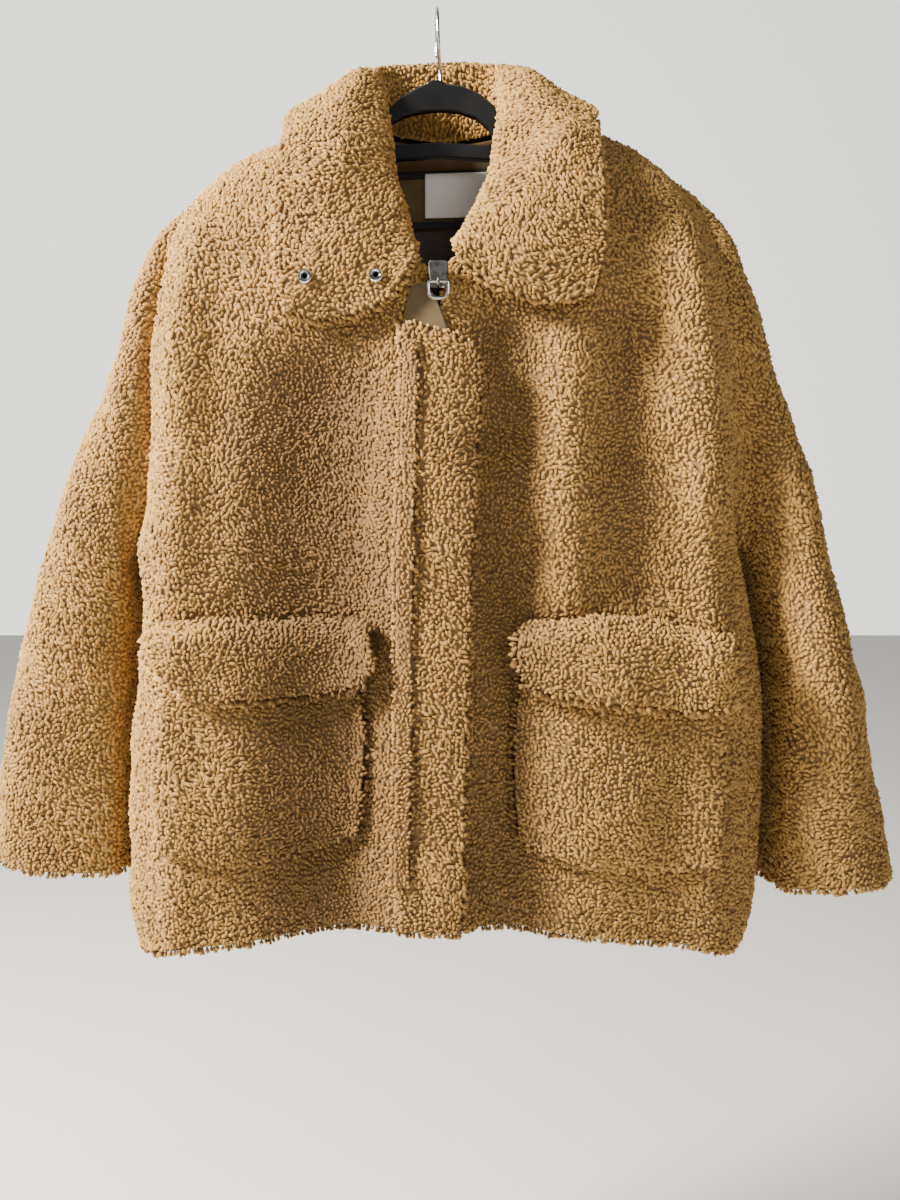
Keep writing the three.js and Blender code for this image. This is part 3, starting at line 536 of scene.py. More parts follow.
def skin_of(name, grid, normals, comb, free, seed, deep, ring=False, cover=None):
    """The surface on which locks grow; `comb` is 'u+', 'v-' and so on, `free` lists the free edges."""
    rim = np.zeros(grid.shape[:2])
    covered = np.ones(grid.shape[:2]) if cover is None else cover
    pad = {"v": [0, 0], "u": [0, 0]}
    for axis, end in free:
        grid, normals, rim = roll_over(grid, normals, rim, "vu".index(axis), end)
        pad[axis][end] = ROLL_STEPS
    covered, deep = (np.pad(a, (pad["v"], pad["u"]), mode="edge") for a in (covered, deep))
    along = np.gradient(grid, axis="vu".index(comb[0])) * (1 if comb[1] == "+" else -1)
    along = unit(along - normals * np.sum(along * normals, axis=-1, keepdims=True))
    angle = (np.radians(WHORL_TURN) * waves(grid, WHORL, seed)[..., None]
             + np.radians(RUFFLE_TURN) * waves(grid, RUFFLE, seed + 1)[..., None])
    flow = along * np.cos(angle) + np.cross(normals, along) * np.sin(angle)
    stretch = np.clip(0.5 + 0.5 * waves(grid, STRETCH_LENGTH, seed + 2), 0, 1)
    return make_mesh(name, grid, grid_faces(*grid.shape[:2], ring), out=normals.reshape(-1, 3),
                     flow=flow.reshape(-1, 3), cover=covered.ravel(), rim=rim.ravel(), stretch=stretch.ravel(),
                     deep=deep.ravel())


# %% [markdown]
# ## One lock
# A lock is a bud of fibre that stands up from the ground cloth and bends over at its end. It is one ring of five
# corners between two points, ten triangles in all, because tens of thousands of it are needed. Smooth shading
# makes it round. Four shapes keep the pile from looking printed.

# %% Lock shapes
# root, middle of the belly, tip, and the belly's half width and half length, in mm
LOCK_SHAPES = {
    "lock_bent": ((-1.0, 0, -1.2), (0.2, 0, 1.5), (1.3, 0.2, 3.4), 2.2, 2.9),
    "lock_round": ((-0.4, 0, -1.2), (0.1, 0.1, 1.7), (0.6, -0.2, 3.6), 2.4, 2.6),
    "lock_hooked": ((-0.8, -0.3, -1.2), (0.2, 0.2, 1.5), (1.2, -0.8, 3.3), 2.3, 2.8),
    "lock_flat": ((-1.2, 0, -1.2), (0.3, 0.1, 1.2), (1.7, 0.5, 2.9), 2.3, 3.3),
}
LOCK_SIDES, LOCK_TRIANGLES = 5, 10


def lock_object(name):
    root, belly, tip, half_width, half_length = LOCK_SHAPES[name]
    root, belly, tip = (np.array(p, float) for p in (root, belly, tip))
    t = unit(tip - root)
    b = unit(np.cross(t, [0, 1, 0]))
    a = np.cross(b, t)
    angles = 2 * math.pi * (np.arange(LOCK_SIDES) + 0.5) / LOCK_SIDES
    ring = [belly + half_width * a * math.sin(q) + half_length * b * math.cos(q) for q in angles]
    points = np.array([root, *ring, tip])
    step = [(1 + q, 1 + (q + 1) % LOCK_SIDES) for q in range(LOCK_SIDES)]
    faces = [(0, j, i) for i, j in step] + [(i, j, LOCK_SIDES + 1) for i, j in step]
    corners = points[np.array(faces)]
    if np.einsum("ij,ij->i", corners[:, 0], np.cross(corners[:, 1], corners[:, 2])).sum() < 0:
        faces = [face[::-1] for face in faces]
    return make_mesh(name, points, faces, tip=[0.0] + [0.5] * LOCK_SIDES + [1.0])


LOCKS = [lock_object(name) for name in LOCK_SHAPES]
print("lock shapes", len(LOCKS))


# %% [markdown]
# ## The tree that grows the pile
# Points are scattered on the skin no closer than a given distance, more closely on a rolled edge. On every point
# stands one of the lock shapes: its upright follows the skin's `out` attribute and its bend follows `flow`, with
# some disorder. Instances are then realised, because the export keeps only real meshes.


# %% Pile tree
MOST_POINTS = 240000.0  # per square metre; the spacing then thins them out
# how much smaller locks are in a trough, slimmer on a rolled edge, and longer where `stretch` is 1; and their width
TROUGH_SMALLER, EDGE_SLIMMER, STRETCHED, NARROW = 0.1, 0.08, 0.55, 0.92


def pile_tree():
    g = GrowTree("grow pile", "Skin", {"Spacing": 0.0029, "Edge Spacing": 0.0025, "Size": 0.94, "Edge Length": 1.4,
                                       "Disorder": 0.9, "Seed": 0})
    given = g.given

    def attribute(name, kind="FLOAT"):
        return g.node("GeometryNodeInputNamedAttribute", {"data_type": kind}, {"Name": name})

    def chance(low, high, step):
        return g.node("FunctionNodeRandomValue", {"data_type": "FLOAT"},
                      {"Min": low, "Max": high, "Seed": given["Seed"] + step})

    rim, cover = attribute("rim"), attribute("cover")
    rooted = []
    for edge, spacing in ((False, given["Spacing"]), (True, given["Edge Spacing"])):
        wanted = rim if edge else 1 - rim
        rooted.append(g.node("GeometryNodeDistributePointsOnFaces", {"distribute_method": "POISSON"},
                             {"Mesh": given["Skin"], "Distance Min": spacing, "Density Max": MOST_POINTS,
                              "Density Factor": wanted * cover, "Seed": given["Seed"] + edge}))
    points = g.node("GeometryNodeJoinGeometry", None, {"Geometry": rooted})
    upright = g.node("FunctionNodeAlignRotationToVector", {"axis": "Z"}, {"Vector": attribute("out", "FLOAT_VECTOR")})
    combed = g.node("FunctionNodeAlignRotationToVector", {"axis": "X", "pivot_axis": "Z"},
                    {"Rotation": upright, "Vector": attribute("flow", "FLOAT_VECTOR")})
    spin = g.node("FunctionNodeAxisAngleToRotation", None,
                  {"Axis": (0, 0, 1), "Angle": chance(-1.0, 1.0, 11) * given["Disorder"]})
    nod = g.node("FunctionNodeAxisAngleToRotation", None,
                 {"Axis": (0, 1, 0), "Angle": chance(-0.28, 0.22, 12)})
    turned = g.node("FunctionNodeRotateRotation", {"rotation_space": "LOCAL"}, {"Rotation": combed, "Rotate By": spin})
    turned = g.node("FunctionNodeRotateRotation", {"rotation_space": "LOCAL"}, {"Rotation": turned, "Rotate By": nod})
    size = chance(0.88, 1.16, 13) * (1.0 - attribute("deep") * TROUGH_SMALLER) * given["Size"]
    longer = 1 + rim * (given["Edge Length"] - 1.0) * chance(0.4, 1.5, 17)
    slim = 1 - rim * EDGE_SLIMMER
    scale = g.node("ShaderNodeCombineXYZ", None,
                   {0: size * slim * (attribute("stretch") * STRETCHED + 1.0) * chance(0.85, 1.3, 18),
                    1: size * slim * NARROW, 2: size * longer * chance(0.85, 1.3, 14)})
    shapes = g.node("GeometryNodeJoinGeometry", None, {"Geometry": [
        g.node("GeometryNodeObjectInfo", None, {"Object": lock, "As Instance": True}, "Geometry") for lock in LOCKS]})
    which = g.node("FunctionNodeRandomValue", {"data_type": "INT"}, {"Min": 0, "Max": len(LOCKS) - 1,
                                                                     "Seed": given["Seed"] + 15})
    planted = g.node("GeometryNodeInstanceOnPoints", None,
                     {"Points": points, "Instance": shapes, "Pick Instance": True, "Instance Index": which,
                      "Rotation": turned, "Scale": scale})
    toned = g.node("GeometryNodeStoreNamedAttribute", {"data_type": "FLOAT", "domain": "INSTANCE"},
                   {"Geometry": planted, "Name": "tone", "Value": chance(-1.0, 1.0, 16)})
    return g.end(toned)


PILE_TREE = pile_tree()
TOTAL = {"locks": 0, "triangles": 0}


def soften(mesh, share=0.42):
    """Fibre scatters light, so a lock is shaded partly as the cloth under it: its normals lean towards the cloth's."""
    own, cloth = np.empty((2, len(mesh.vertices), 3), np.float32)
    mesh.vertices.foreach_get("normal", own.ravel())
    mesh.attributes["out"].data.foreach_get("vector", cloth.ravel())
    mesh.normals_split_custom_set_from_vertices(unit(mix(own, cloth, share)).tolist())


def grow(skin, seed, **sizes):
    """Grows locks on a skin and returns them as one plain mesh; the skin is thrown away."""
    name = skin.name.replace("skin", "pile")
    mesh = PILE_TREE.grow_on(skin, Seed=seed, Finish=PILE, **sizes)
    soften(mesh)
    for key in ("out", "flow", "cover", "stretch"):
        if key in mesh.attributes:
            mesh.attributes.remove(mesh.attributes[key])
    mesh.name = name
    pile = add_object(name, mesh)
    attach(pile, "coat")
    triangles = len(mesh.loops) - 2 * len(mesh.polygons)
    TOTAL["locks"] += triangles // LOCK_TRIANGLES
    TOTAL["triangles"] += triangles
    print(f"{name}: {triangles // LOCK_TRIANGLES} locks, {triangles} triangles")
    return pile


# %% [markdown]
# ## The ground cloth
# Between the locks a little of the knitted ground shows. Its deep brown is partly its own colour and partly painted
# shade, darker still in the troughs of the folds, and inside the coat there is a dark woven lining. One material
# serves both faces, told apart by the attribute `inside`.


# %% Ground cloth finish
def ground_finish():
    f = Finish("pile_ground", roughness=0.9)
    place = f.place()
    knit = f.noise(place, 700.0, 2.0)
    # the ground is painted darker in the troughs: painted shade
    outer = f.ramp(knit - f.attribute("deep") * 0.3, (0.0, (0.10, 0.055, 0.019)), (0.7, (0.27, 0.154, 0.052)))
    twill = f.node("ShaderNodeTexWave", {"bands_direction": "DIAGONAL"},
                   {"Vector": place, "Scale": 260.0, "Distortion": 1.2, "Detail": 1.0})
    lining = f.ramp(twill, (0.2, (0.030, 0.019, 0.013)), (0.8, (0.060, 0.040, 0.028)))
    colour = f.blend(f.attribute("inside"), outer, lining)
    return f.feed(base_color=colour, normal=f.bump(knit + twill * 0.5, 0.0008, 0.4))


GROUND = ground_finish()

# %% One panel
# mm: depth of the pile, walls of a panel and of a piece sewn on it, how far cloth stops short of a free edge, how
# far the ground stands up between the locks, and how far both faces stay within the CAD solid's
PILE_DEPTH, WALL, PATCH_WALL, TRIM, FILL, WITHIN = 4.3, 9.0, 7.0, 5.0, 0.8, 0.3
# the ground sways in and out by this much, over this length, and lies lower in a trough
SWAY, SWAY_LENGTH, TROUGH_SWAY = 1.3, 75, 0.5
# a fold this deep counts as a full trough, on the front of this y
FULL_TROUGH, FRONT_Y = 24, -60


def panel(name, grid, comb, free, seed, flat, area, outward, ring=False, wall=WALL, cover=None, split=None,
          depth=PILE_DEPTH, lap=0.0, **pile_sizes):
    """Ground cloth and pile of the CAD node `name`. `outward` is a point of the grid and where its normal looks."""
    if lap:
        grid = np.concatenate([grid[:1] + unit(grid[:1] - grid[1:2]) * lap, grid])
    normals = facing(normals_of(grid, ring), *outward)
    deep = (np.clip(-fold_at(grid[..., 0], grid[..., 2]) / FULL_TROUGH, 0, 1)
            * (grid[..., 1] < FRONT_Y) * (not ring))
    sway = SWAY * waves(grid, SWAY_LENGTH, seed + 5)[..., None] - TROUGH_SWAY * deep[..., None]
    base, lining_side = grid - normals * (depth + WITHIN - sway), grid - normals * (wall - WITHIN)
    cloth = shell("cloth_" + name, base + normals * FILL, lining_side, GROUND, ring, wall > PATCH_WALL, deep)
    for k, (i0, i1) in enumerate(split or [(0, grid.shape[1])]):
        label = name + ("_" + "ab"[k] if split else "")
        part = None if cover is None else cover[:, i0:i1]
        ends = [(axis, end) for axis, end in free if axis == "v" or not split]
        skin = skin_of("skin_" + label, base[:, i0:i1], normals[:, i0:i1], comb, ends, seed + 10 * k,
                       deep[:, i0:i1], ring, part)
        grow(skin, seed + 10 * k, **pile_sizes)
    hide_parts(name)
    real = sum(p.area for p in cloth.data.polygons) / 2
    print(f"cloth_{name}: {real:.4f} m2 of cloth, cut {flat}")


# %% [markdown]
# ## Fronts and back
# Two fronts and one back hang from the shoulders. The fronts end at the zip, and their hem is turned up, which
# leaves a thick, soft edge with locks all round it.

# %% Fronts and back
BELOW_ARMPIT = 380  # mm from the hem up to the armpit
LOW, HIGH = np.linspace(TRIM / BELOW_ARMPIT, 1, 36), np.linspace(0, 1, 42)
ACROSS_FRONT, ACROSS_BACK, BACK_SPLIT = np.linspace(0, 1, 42), np.linspace(0, 1, 64), [(0, 33), (32, 64)]
RUFFLED = 1.15  # disorder of the locks on the body and on what is sewn to it
front_sheet = {side: front_grid(side, ACROSS_FRONT, LOW, HIGH) for side in SIGN}
# what is hidden needs no locks: x and z from, x and z to, under the right and left pocket, the wind flap, the collar
UNDER = [(-252, -788, -112, -576), (-116, -772, -66, -576),
         (114, -794, 216, -580), (214, -794, 257, -594), (74, -768, 118, -574),
         (-24, -846, 20, -350),
         (-112, -280, -40, 0), (-124, -200, -40, 0), (40, -262, 128, 0)]
UNDER_BACK = [(-72, -126, 80, 0)]


def uncovered(grid, boxes):
    cover = np.ones(grid.shape[:2])
    for x0, z0, x1, z1 in boxes:
        x, z = grid[..., 0], grid[..., 2]
        cover[(x > x0) & (x < x1) & (z > z0) & (z < z1)] = 0
    return cover


for side, seed in (("right", 3), ("left", 5)):
    panel("front_" + side, front_sheet[side], "v-", [("v", 0)], seed, (0.36, 0.80), 0.235, ((20, 20), (0, -1, 0)),
          cover=uncovered(front_sheet[side], UNDER), Disorder=RUFFLED)
back_sheet = back_grid(ACROSS_BACK, LOW, HIGH)
panel("back", back_sheet, "v-", [("v", 0)], 7, (0.68, 0.80), 0.48, ((20, 32), (0, 1, 0)), split=BACK_SPLIT,
      cover=uncovered(back_sheet, UNDER_BACK), Disorder=RUFFLED)
print("so far", TOTAL)

# %% [markdown]
# ## Sleeves
# A sleeve is a tube from the armhole to the cuff. Its sections are tilted ovals, wider towards the cuff, and it
# hangs a little away from the body. Its pile runs round the cuff's edge as it does round the hem.

# %% Sleeves
# outer outline x z, inner outline x z, y in front, y behind, y of the inner outline, tuck behind the body
SLEEVE = {
    "right": [[-262, -207, -289, -516, -62, 27, -38, 0], [-290, -268, -292, -530, -63, 27, -38, 30],
              [-312, -342, -292, -545, -63, 27, -38, 65], [-352, -428, -294, -580, -60, 28, -36, 95],
              [-384, -520, -298, -630, -60, 28, -36, 105], [-409, -610, -303, -690, -58, 27, -36, 90],
              [-432, -712, -306, -762, -56, 26, -36, 100], [-440, -770, -308, -800, -56, 26, -36, 100],
              [-443, -816, -310, -828, -56, 26, -36, 100]],
    "left": [[271, -201, 292, -523, -66, 27, -38, 0], [299, -264, 297, -536, -70, 27, -40, 30],
             [321, -340, 302, -550, -78, 27, -44, 65], [354, -438, 310, -580, -88, 28, -52, 95],
             [377, -526, 318, -626, -96, 28, -60, 105], [400, -620, 324, -684, -100, 27, -62, 90],
             [420, -712, 322, -760, -100, 26, -62, 100], [435, -772, 321, -804, -98, 26, -62, 100],
             [446, -818, 322, -830, -96, 26, -62, 100]],
}


def sleeve_grid(side, around, v):
    a = 2 * math.pi * np.arange(around) / around
    w, s = (1 - np.cos(a)) / 2, np.sin(a)
    up = np.where(a <= math.pi, a / math.pi, 2 - a / math.pi)
    hole = spline(ARMHOLE[side], up)
    keys = [np.stack([hole[:, 0], np.where(a <= math.pi, hole[:, 1], hole[:, 2]), hole[:, 3]], axis=1)]
    for xo, zo, xi, zi, y_front, y_rear, y_inner, tuck in SLEEVE[side]:
        edge = mix(y_inner, -12, w)
        y = mix(edge, np.where(s > 0, y_front, y_rear), np.abs(s) ** 0.8)
        inwards = -SIGN[side] * tuck * np.maximum(0, -s) ** 2 * (1 - w) ** 2
        keys.append(np.stack([mix(xi, xo, w) + inwards, y, mix(zi, zo, w)], axis=1))
    keys = np.array(keys)
    return np.stack([spline(keys[:, i], v) for i in range(around)], axis=1)


SLEEVE_LENGTH, LAP = 620, 4.0  # the lap runs under the seam at the armhole
for side, seed in (("right", 11), ("left", 13)):
    panel("sleeve_" + side, sleeve_grid(side, 50, np.linspace(0, 1 - TRIM / SLEEVE_LENGTH, 66)), "v+", [("v", 1)],
          seed, (0.34, 0.62), 0.165, ((33, 12), (0, -1, 0)), ring=True, lap=LAP)

# %% [markdown]
# ## Collar
# The collar is one strip with its stand: it rises from the neck seam, rolls over and falls on the shoulders. Where
# it lies on the fronts, its place is found by a ray onto their sheet.

# %% Rays onto the fronts and the back
joined_front = np.concatenate([front_sheet["right"], front_sheet["left"][:, ::-1]], axis=1)


def ray_tree(grid):
    return BVHTree.FromPolygons((grid.reshape(-1, 3)).tolist(), grid_faces(*grid.shape[:2]).tolist())


FRONT_RAYS, BACK_RAYS = ray_tree(joined_front), ray_tree(back_sheet)


def on_sheet(tree, x, z, direction=1):
    """The y of the sheet behind x and z; outside it, the nearest point's y."""
    hit = tree.ray_cast(Vector((x, -400 * direction, z)), Vector((0, direction, 0)))[0]
    return hit.y if hit else tree.find_nearest(Vector((x, -100 * direction, z)))[0].y


# %% Collar
# stations from one front corner round the back to the other; each runs from the neck seam over the roll to the edge
LIES = None
COLLAR = [
    [[-11, -76, -244], [-12, -90, -240], [-18, -111, -256], [-40, LIES, -296], [-92, LIES, -312], [-131, LIES, -303]],
    [[-29, -57, -222], [-21, -70, -220], [-23, -95, -226], [-58, LIES, -250], [-100, LIES, -266], [-139, LIES, -268]],
    [[-50, -44, -178], [-37, -50, -174], [-34, -72, -176], [-66, LIES, -194], [-100, LIES, -214], [-141, LIES, -222]],
    [[-62, -20, -132], [-47, -22, -126], [-42, -40, -118], [-80, -68, -130], [-108, -76, -148], [-139, -82, -170]],
    [[-68, 0, -100], [-54, 0, -86], [-51, -4, -60], [-76, -14, -58], [-110, -20, -80], [-139, -26, -99]],
    [[-60, 16, -96], [-50, 14, -80], [-56, 10, -46], [-80, 18, -46], [-108, 20, -74], [-134, 16, -98]],
    [[-40, 30, -100], [-38, 26, -80], [-42, 22, -37], [-54, 44, -37], [-70, 56, -82], [-88, 54, -134]],
    [[4, 37, -104], [4, 30, -80], [4, 24, -33], [4, 50, -33], [4, 64, -86], [4, 60, -150]],
    [[48, 30, -100], [46, 26, -80], [50, 22, -36], [62, 44, -36], [80, 56, -82], [98, 54, -134]],
    [[68, 16, -96], [58, 14, -80], [64, 10, -44], [90, 18, -46], [118, 20, -72], [144, 16, -94]],
    [[76, 0, -99], [62, 0, -86], [60, -4, -60], [86, -14, -58], [118, -20, -78], [149, -26, -95]],
    [[70, -20, -130], [58, -22, -124], [56, -40, -118], [94, LIES, -134], [118, -78, -146], [149, -82, -166]],
    [[58, -44, -176], [48, -50, -172], [46, -72, -174], [78, LIES, -192], [112, LIES, -210], [150, LIES, -218]],
    [[35, -57, -220], [28, -70, -218], [30, -95, -224], [66, LIES, -246], [110, LIES, -256], [148, LIES, -256]],
    [[15, -76, -244], [15, -92, -239], [20, -114, -254], [50, LIES, -284], [100, LIES, -296], [139, LIES, -290]],
]
COLLAR_WALL, COLLAR_REST = 10, 6
COLLAR_WIDTH, COLLAR_LENGTH = 200, 900
collar_keys = [[[x, on_sheet(FRONT_RAYS, x, z) - COLLAR_WALL - COLLAR_REST if y is LIES else y, z]
                for x, y, z in station] for station in COLLAR]
collar_sheet = loft(collar_keys, np.linspace(0.02, 1 - TRIM / COLLAR_WIDTH, 30),
                    np.linspace(TRIM / COLLAR_LENGTH, 1 - TRIM / COLLAR_LENGTH, 106))
panel("collar", collar_sheet, "u+", [("u", 1), ("v", 0), ("v", 1)], 17, (0.19, 0.88), 0.118,
      ((53, 24), (0, 1, 0)), wall=COLLAR_WALL)

# %% [markdown]
# ## What is sewn on the fronts
# The wind flap over the zip, the pockets and their flaps are cut from the same pile and lie on the fronts. Each is
# an outline in x and z that is projected onto the fronts' sheet and moved out by its own thickness.


# %% Pieces that lie on a sheet
def laid(rows, u, v, lift, bulge=0.0, rays=None, direction=1):
    """Rows of x and z, lower row first, laid on a sheet and moved out from it by `lift`."""
    flat = loft(rows, u, v)
    tree = rays or FRONT_RAYS
    ground = np.array([[[x, on_sheet(tree, x, z, direction), z] for x, z in row] for row in flat])
    normals = facing(normals_of(ground), middle(ground), (0, -direction, 0))
    out = np.array([[lift(t, q) if callable(lift) else lift for q in u] for t in v])[..., None]
    swelling = bulge * np.sin(math.pi * np.asarray(u))[None, :, None] * np.sin(math.pi * np.asarray(v))[:, None, None]
    return ground + normals * (out + swelling)


PLACKET = [[[-33, -852], [-20, -852], [0, -852], [24, -852]], [[-31, -760], [-18, -760], [3, -760], [26, -760]],
           [[-30, -640], [-16, -640], [5, -640], [29, -640]], [[-28, -520], [-13, -520], [8, -520], [32, -520]],
           [[-26, -430], [-11, -430], [12, -430], [35, -430]], [[-25, -375], [-10, -372], [14, -370], [40, -366]],
           [[-29, -316], [-17, -318], [8, -324], [36, -340]]]
RIDGE = [[[-35, -808], [-21, -808]], [[-33, -700], [-19, -700]], [[-32, -560], [-17, -560]],
         [[-29, -440], [-15, -440]], [[-27, -360], [-12, -358]], [[-28, -330], [-16, -330]]]
POCKET = {
    "right": [[[-248, -782], [-200, -790], [-150, -789], [-104, -784], [-68, -766]],
              [[-252, -740], [-200, -742], [-150, -742], [-104, -740], [-62, -722]],
              [[-248, -690], [-200, -692], [-150, -692], [-104, -690], [-60, -676]],
              [[-240, -600], [-200, -600], [-150, -600], [-104, -600], [-66, -600]]],
    "left": [[[74, -772], [116, -788], [164, -794], [212, -796], [252, -790]],
             [[68, -722], [116, -734], [164, -740], [212, -742], [256, -742]],
             [[68, -674], [116, -684], [164, -690], [212, -692], [256, -694]],
             [[78, -600], [116, -600], [164, -602], [212, -604], [254, -608]]],
}
FLAP = {
    "right": [[[-214, -645], [-180, -645], [-130, -643], [-86, -638], [-52, -628]],
              [[-250, -606], [-196, -606], [-140, -606], [-88, -604], [-44, -602]],
              [[-248, -570], [-196, -570], [-140, -570], [-88, -569], [-56, -569]]],
    "left": [[[82, -628], [116, -639], [162, -645], [214, -650], [256, -650]],
             [[72, -602], [116, -606], [162, -608], [214, -610], [260, -612]],
             [[76, -571], [116, -567], [162, -566], [214, -574], [260, -584]]],
}
ON_CLOTH = 0.9
EDGES = [("u", 0), ("u", 1), ("v", 0), ("v", 1)]
TOP_SEWN = EDGES[:3]


def inner(count, length, start=True, end=True):
    """Parameters from 0 to 1 that stop short of a free edge by the pile's depth."""
    return np.linspace(TRIM / length if start else 0, 1 - (TRIM / length if end else 0), count)


def sewn_on(name, rows, counts, size, lift, bulge, free, seed, flat, area, **pile):
    """`counts` and `size` are the grid's points and the piece's length in mm, across and up."""
    u, v = (inner(counts[k], size[k], (axis, 0) in free, (axis, 1) in free) for k, axis in enumerate("uv"))
    grid = laid(rows, u, v, lambda t, q: (lift(t, q) if callable(lift) else lift) + PATCH_WALL, bulge)
    panel(name, grid, "v-", free, seed, flat, area, (middle(grid), (0, -1, 0)), wall=PATCH_WALL, depth=PATCH_PILE,
          Disorder=RUFFLED, **pile)


PATCH_PILE, PLACKET_LIFT, POCKET_LIFT, POCKET_BULGE, FLAP_BULGE = 3.6, 6.0, 1.1, 6.0, 2.0


def placket_lift(v, u):
    """The wind flap is sewn down on one side and stands off towards its free edge."""
    return ON_CLOTH + PLACKET_LIFT * (max(0.0, u - 0.4) / 0.6) ** 1.5


def over_pocket(v, u):
    """A pocket's flap is sewn down at its top and rides over the pocket below."""
    return mix(ON_CLOTH + 0.4, ON_CLOTH + PATCH_WALL + 1.9 + 0.75 * POCKET_BULGE * min(1.0, (1 - v) * 2.5),
               min(1.0, (1 - v) * 4))


groove = np.ones((110, 12))
groove[8:-4, 3] = 0.1  # few locks stand in the seam beside the ridge
sewn_on("placket", PLACKET, (12, 110), (62, 520), placket_lift, 0.0, EDGES, 19, (0.075, 0.53), 0.036, cover=groove)
RIDGE_LIFT, RIDGE_WALL, RIDGE_PILE, RIDGE_LOCK = 2.5, 3.3, 2.0, 0.76
ridge = laid(RIDGE, inner(6, 40), inner(100, 500), ON_CLOTH + PATCH_WALL + RIDGE_LIFT)
panel("placket_ridge", ridge, "v-", [("u", 0), ("u", 1)], 23, (0.02, 0.49), 0.0075, (middle(ridge), (0, -1, 0)),
      wall=RIDGE_WALL, depth=RIDGE_PILE, Size=RIDGE_LOCK)
for side, seed in (("right", 29), ("left", 37)):
    sewn_on("pocket_" + side, POCKET[side], (40, 42), (185, 185), POCKET_LIFT, POCKET_BULGE, TOP_SEWN, seed,
            (0.21, 0.22), 0.040, **{"Edge Length": 1.6})
    sewn_on("pocket_flap_" + side, FLAP[side], (42, 18), (195, 70), over_pocket, FLAP_BULGE, TOP_SEWN, seed + 3,
            (0.22, 0.09), 0.0165, **{"Edge Length": 2.1})
print("pile in all", TOTAL)

# %% [markdown]
# ## Smooth cloths
# Where the collar stands open, the inside of the back shows: a tan facing like brushed suede, two black woven
# tapes, a bare white label and the dark lining. Each is a thin closed sheet on the form of its CAD solid.


# %% Smooth cloth finishes
def suede_finish():
    f = Finish("tan_facing", roughness=0.92, sheen_weight=0.4, sheen_roughness=0.5)
    place = f.place()
    nap = f.noise(place, 900.0, 3.0)
    cloud = f.noise(place, 60.0, 2.0)
    colour = f.ramp(nap * 0.4 + cloud * 0.6, (0.3, (0.09, 0.057, 0.022)), (0.7, (0.14, 0.090, 0.036)))
    return f.feed(base_color=colour, normal=f.bump(nap, 0.0005, 0.5))


def woven_finish(name, dark, light, threads, depth, **constants):
    """Threads over and under each other, as two crossed waves."""
    f = Finish(name, **constants)
    place = f.place()
    warp = f.node("ShaderNodeTexWave", {"bands_direction": "X"}, {"Vector": place, "Scale": threads, "Distortion": 0.6})
    weft = f.node("ShaderNodeTexWave", {"bands_direction": "Z"}, {"Vector": place, "Scale": threads, "Distortion": 0.6})
    weave = warp * 0.5 + weft * 0.5
    shade = weave * 0.7 + f.noise(place, 150.0) * 0.3
    return f.feed(base_color=f.ramp(shade, (0.2, dark), (0.8, light)), normal=f.bump(weave, depth, 0.6))


SUEDE = suede_finish()
LINING = woven_finish("dark_lining", (0.020, 0.013, 0.010), (0.052, 0.036, 0.028), 420.0, 0.0003, roughness=0.55,
                      sheen_weight=0.3)
TAPE = woven_finish("black_tape", (0.006, 0.006, 0.007), (0.022, 0.022, 0.026), 300.0, 0.0005, roughness=0.8)
LABEL = woven_finish("white_label", (0.80, 0.80, 0.80), (0.90, 0.90, 0.90), 520.0, 0.0002, roughness=0.5,
                     sheen_weight=0.2)


# %% Thin sheets behind the neck and at the zip
TAPE_WALL = 0.9
# piece, node, x from and to, z from and to, rise along x, points across and up, mm in from the back's pile, wall,
# finish, slot, flat size and area
BEHIND_NECK = [
    ("lining_back", "lining", (-96, 108, -420, -196.6, 0), (40, 40), 1.7, 1.0, LINING, "dark_lining",
     (0.21, 0.23), None),
    ("facing_neck", "neck_facing", (-78, 86, -195.6, -124, 0), (40, 20), 0.9, 1.0, SUEDE, "tan_facing",
     (0.17, 0.075), None),
    ("tape_under_collar", "tape_upper", (-46, 58, -146, -139, 4), (30, 4), 2.7, TAPE_WALL, TAPE, "black_tape",
     (0.106, 0.010), 0.00085),
    ("tape_over_lining", "tape_lower", (-46, 58, -196, -188, 4), (30, 4), 2.7, TAPE_WALL, TAPE, "black_tape",
     (0.106, 0.010), 0.00090),
    ("label_bare", "neck_label", (-12, 51, -184, -141, 2), (24, 16), 4.1, 0.7, LABEL, "white_label",
     (0.064, 0.044), None),
]
FACING = [[[-27, -318], [-20, -319], [-8, -322], [14, -326]], [[-24, -296], [-16, -296], [-8, -296], [2, -296]],
          [[-19, -282], [-14, -281], [-11, -281], [-8, -281]]]
FACING_LIFT, FACING_WALL = 2.0, 1.2
ZIP_LEVELS = (-851, -760, -660, -560, -500, -430, -350, -300, -263)
ZIP_TAPES = {"right": (-12.5, -3.2), "left": (3.2, 12.5)}


def thin_sheet(name, node, outer, wall, finish, slot, flat, area=None):
    cloth = shell(name, outer, outer - normals_of(outer) * wall, finish)
    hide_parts(node)


def cells(n):
    return np.linspace(0, 1, n)


def inside_back(place, points, depth):
    """A sheet inside the back: its face towards the wearer, `depth` in from the body's wall."""
    x0, x1, z0, z1, rise = place
    rows = [[[x0, z0], [x1, z0 + rise]], [[x0, z1], [x1, z1 + rise]]]
    grid = laid(rows, cells(points[0]), cells(points[1]), 0.0, rays=BACK_RAYS, direction=-1)
    return grid + facing(normals_of(grid), middle(grid), (0, -1, 0)) * (WALL + depth)


def zip_middle(z):
    return spline(ZIP_EDGE, np.array([(z - ZIP_FOOT) / ZIP_LENGTH]))[0, 0] + ZIP_GAP / 2


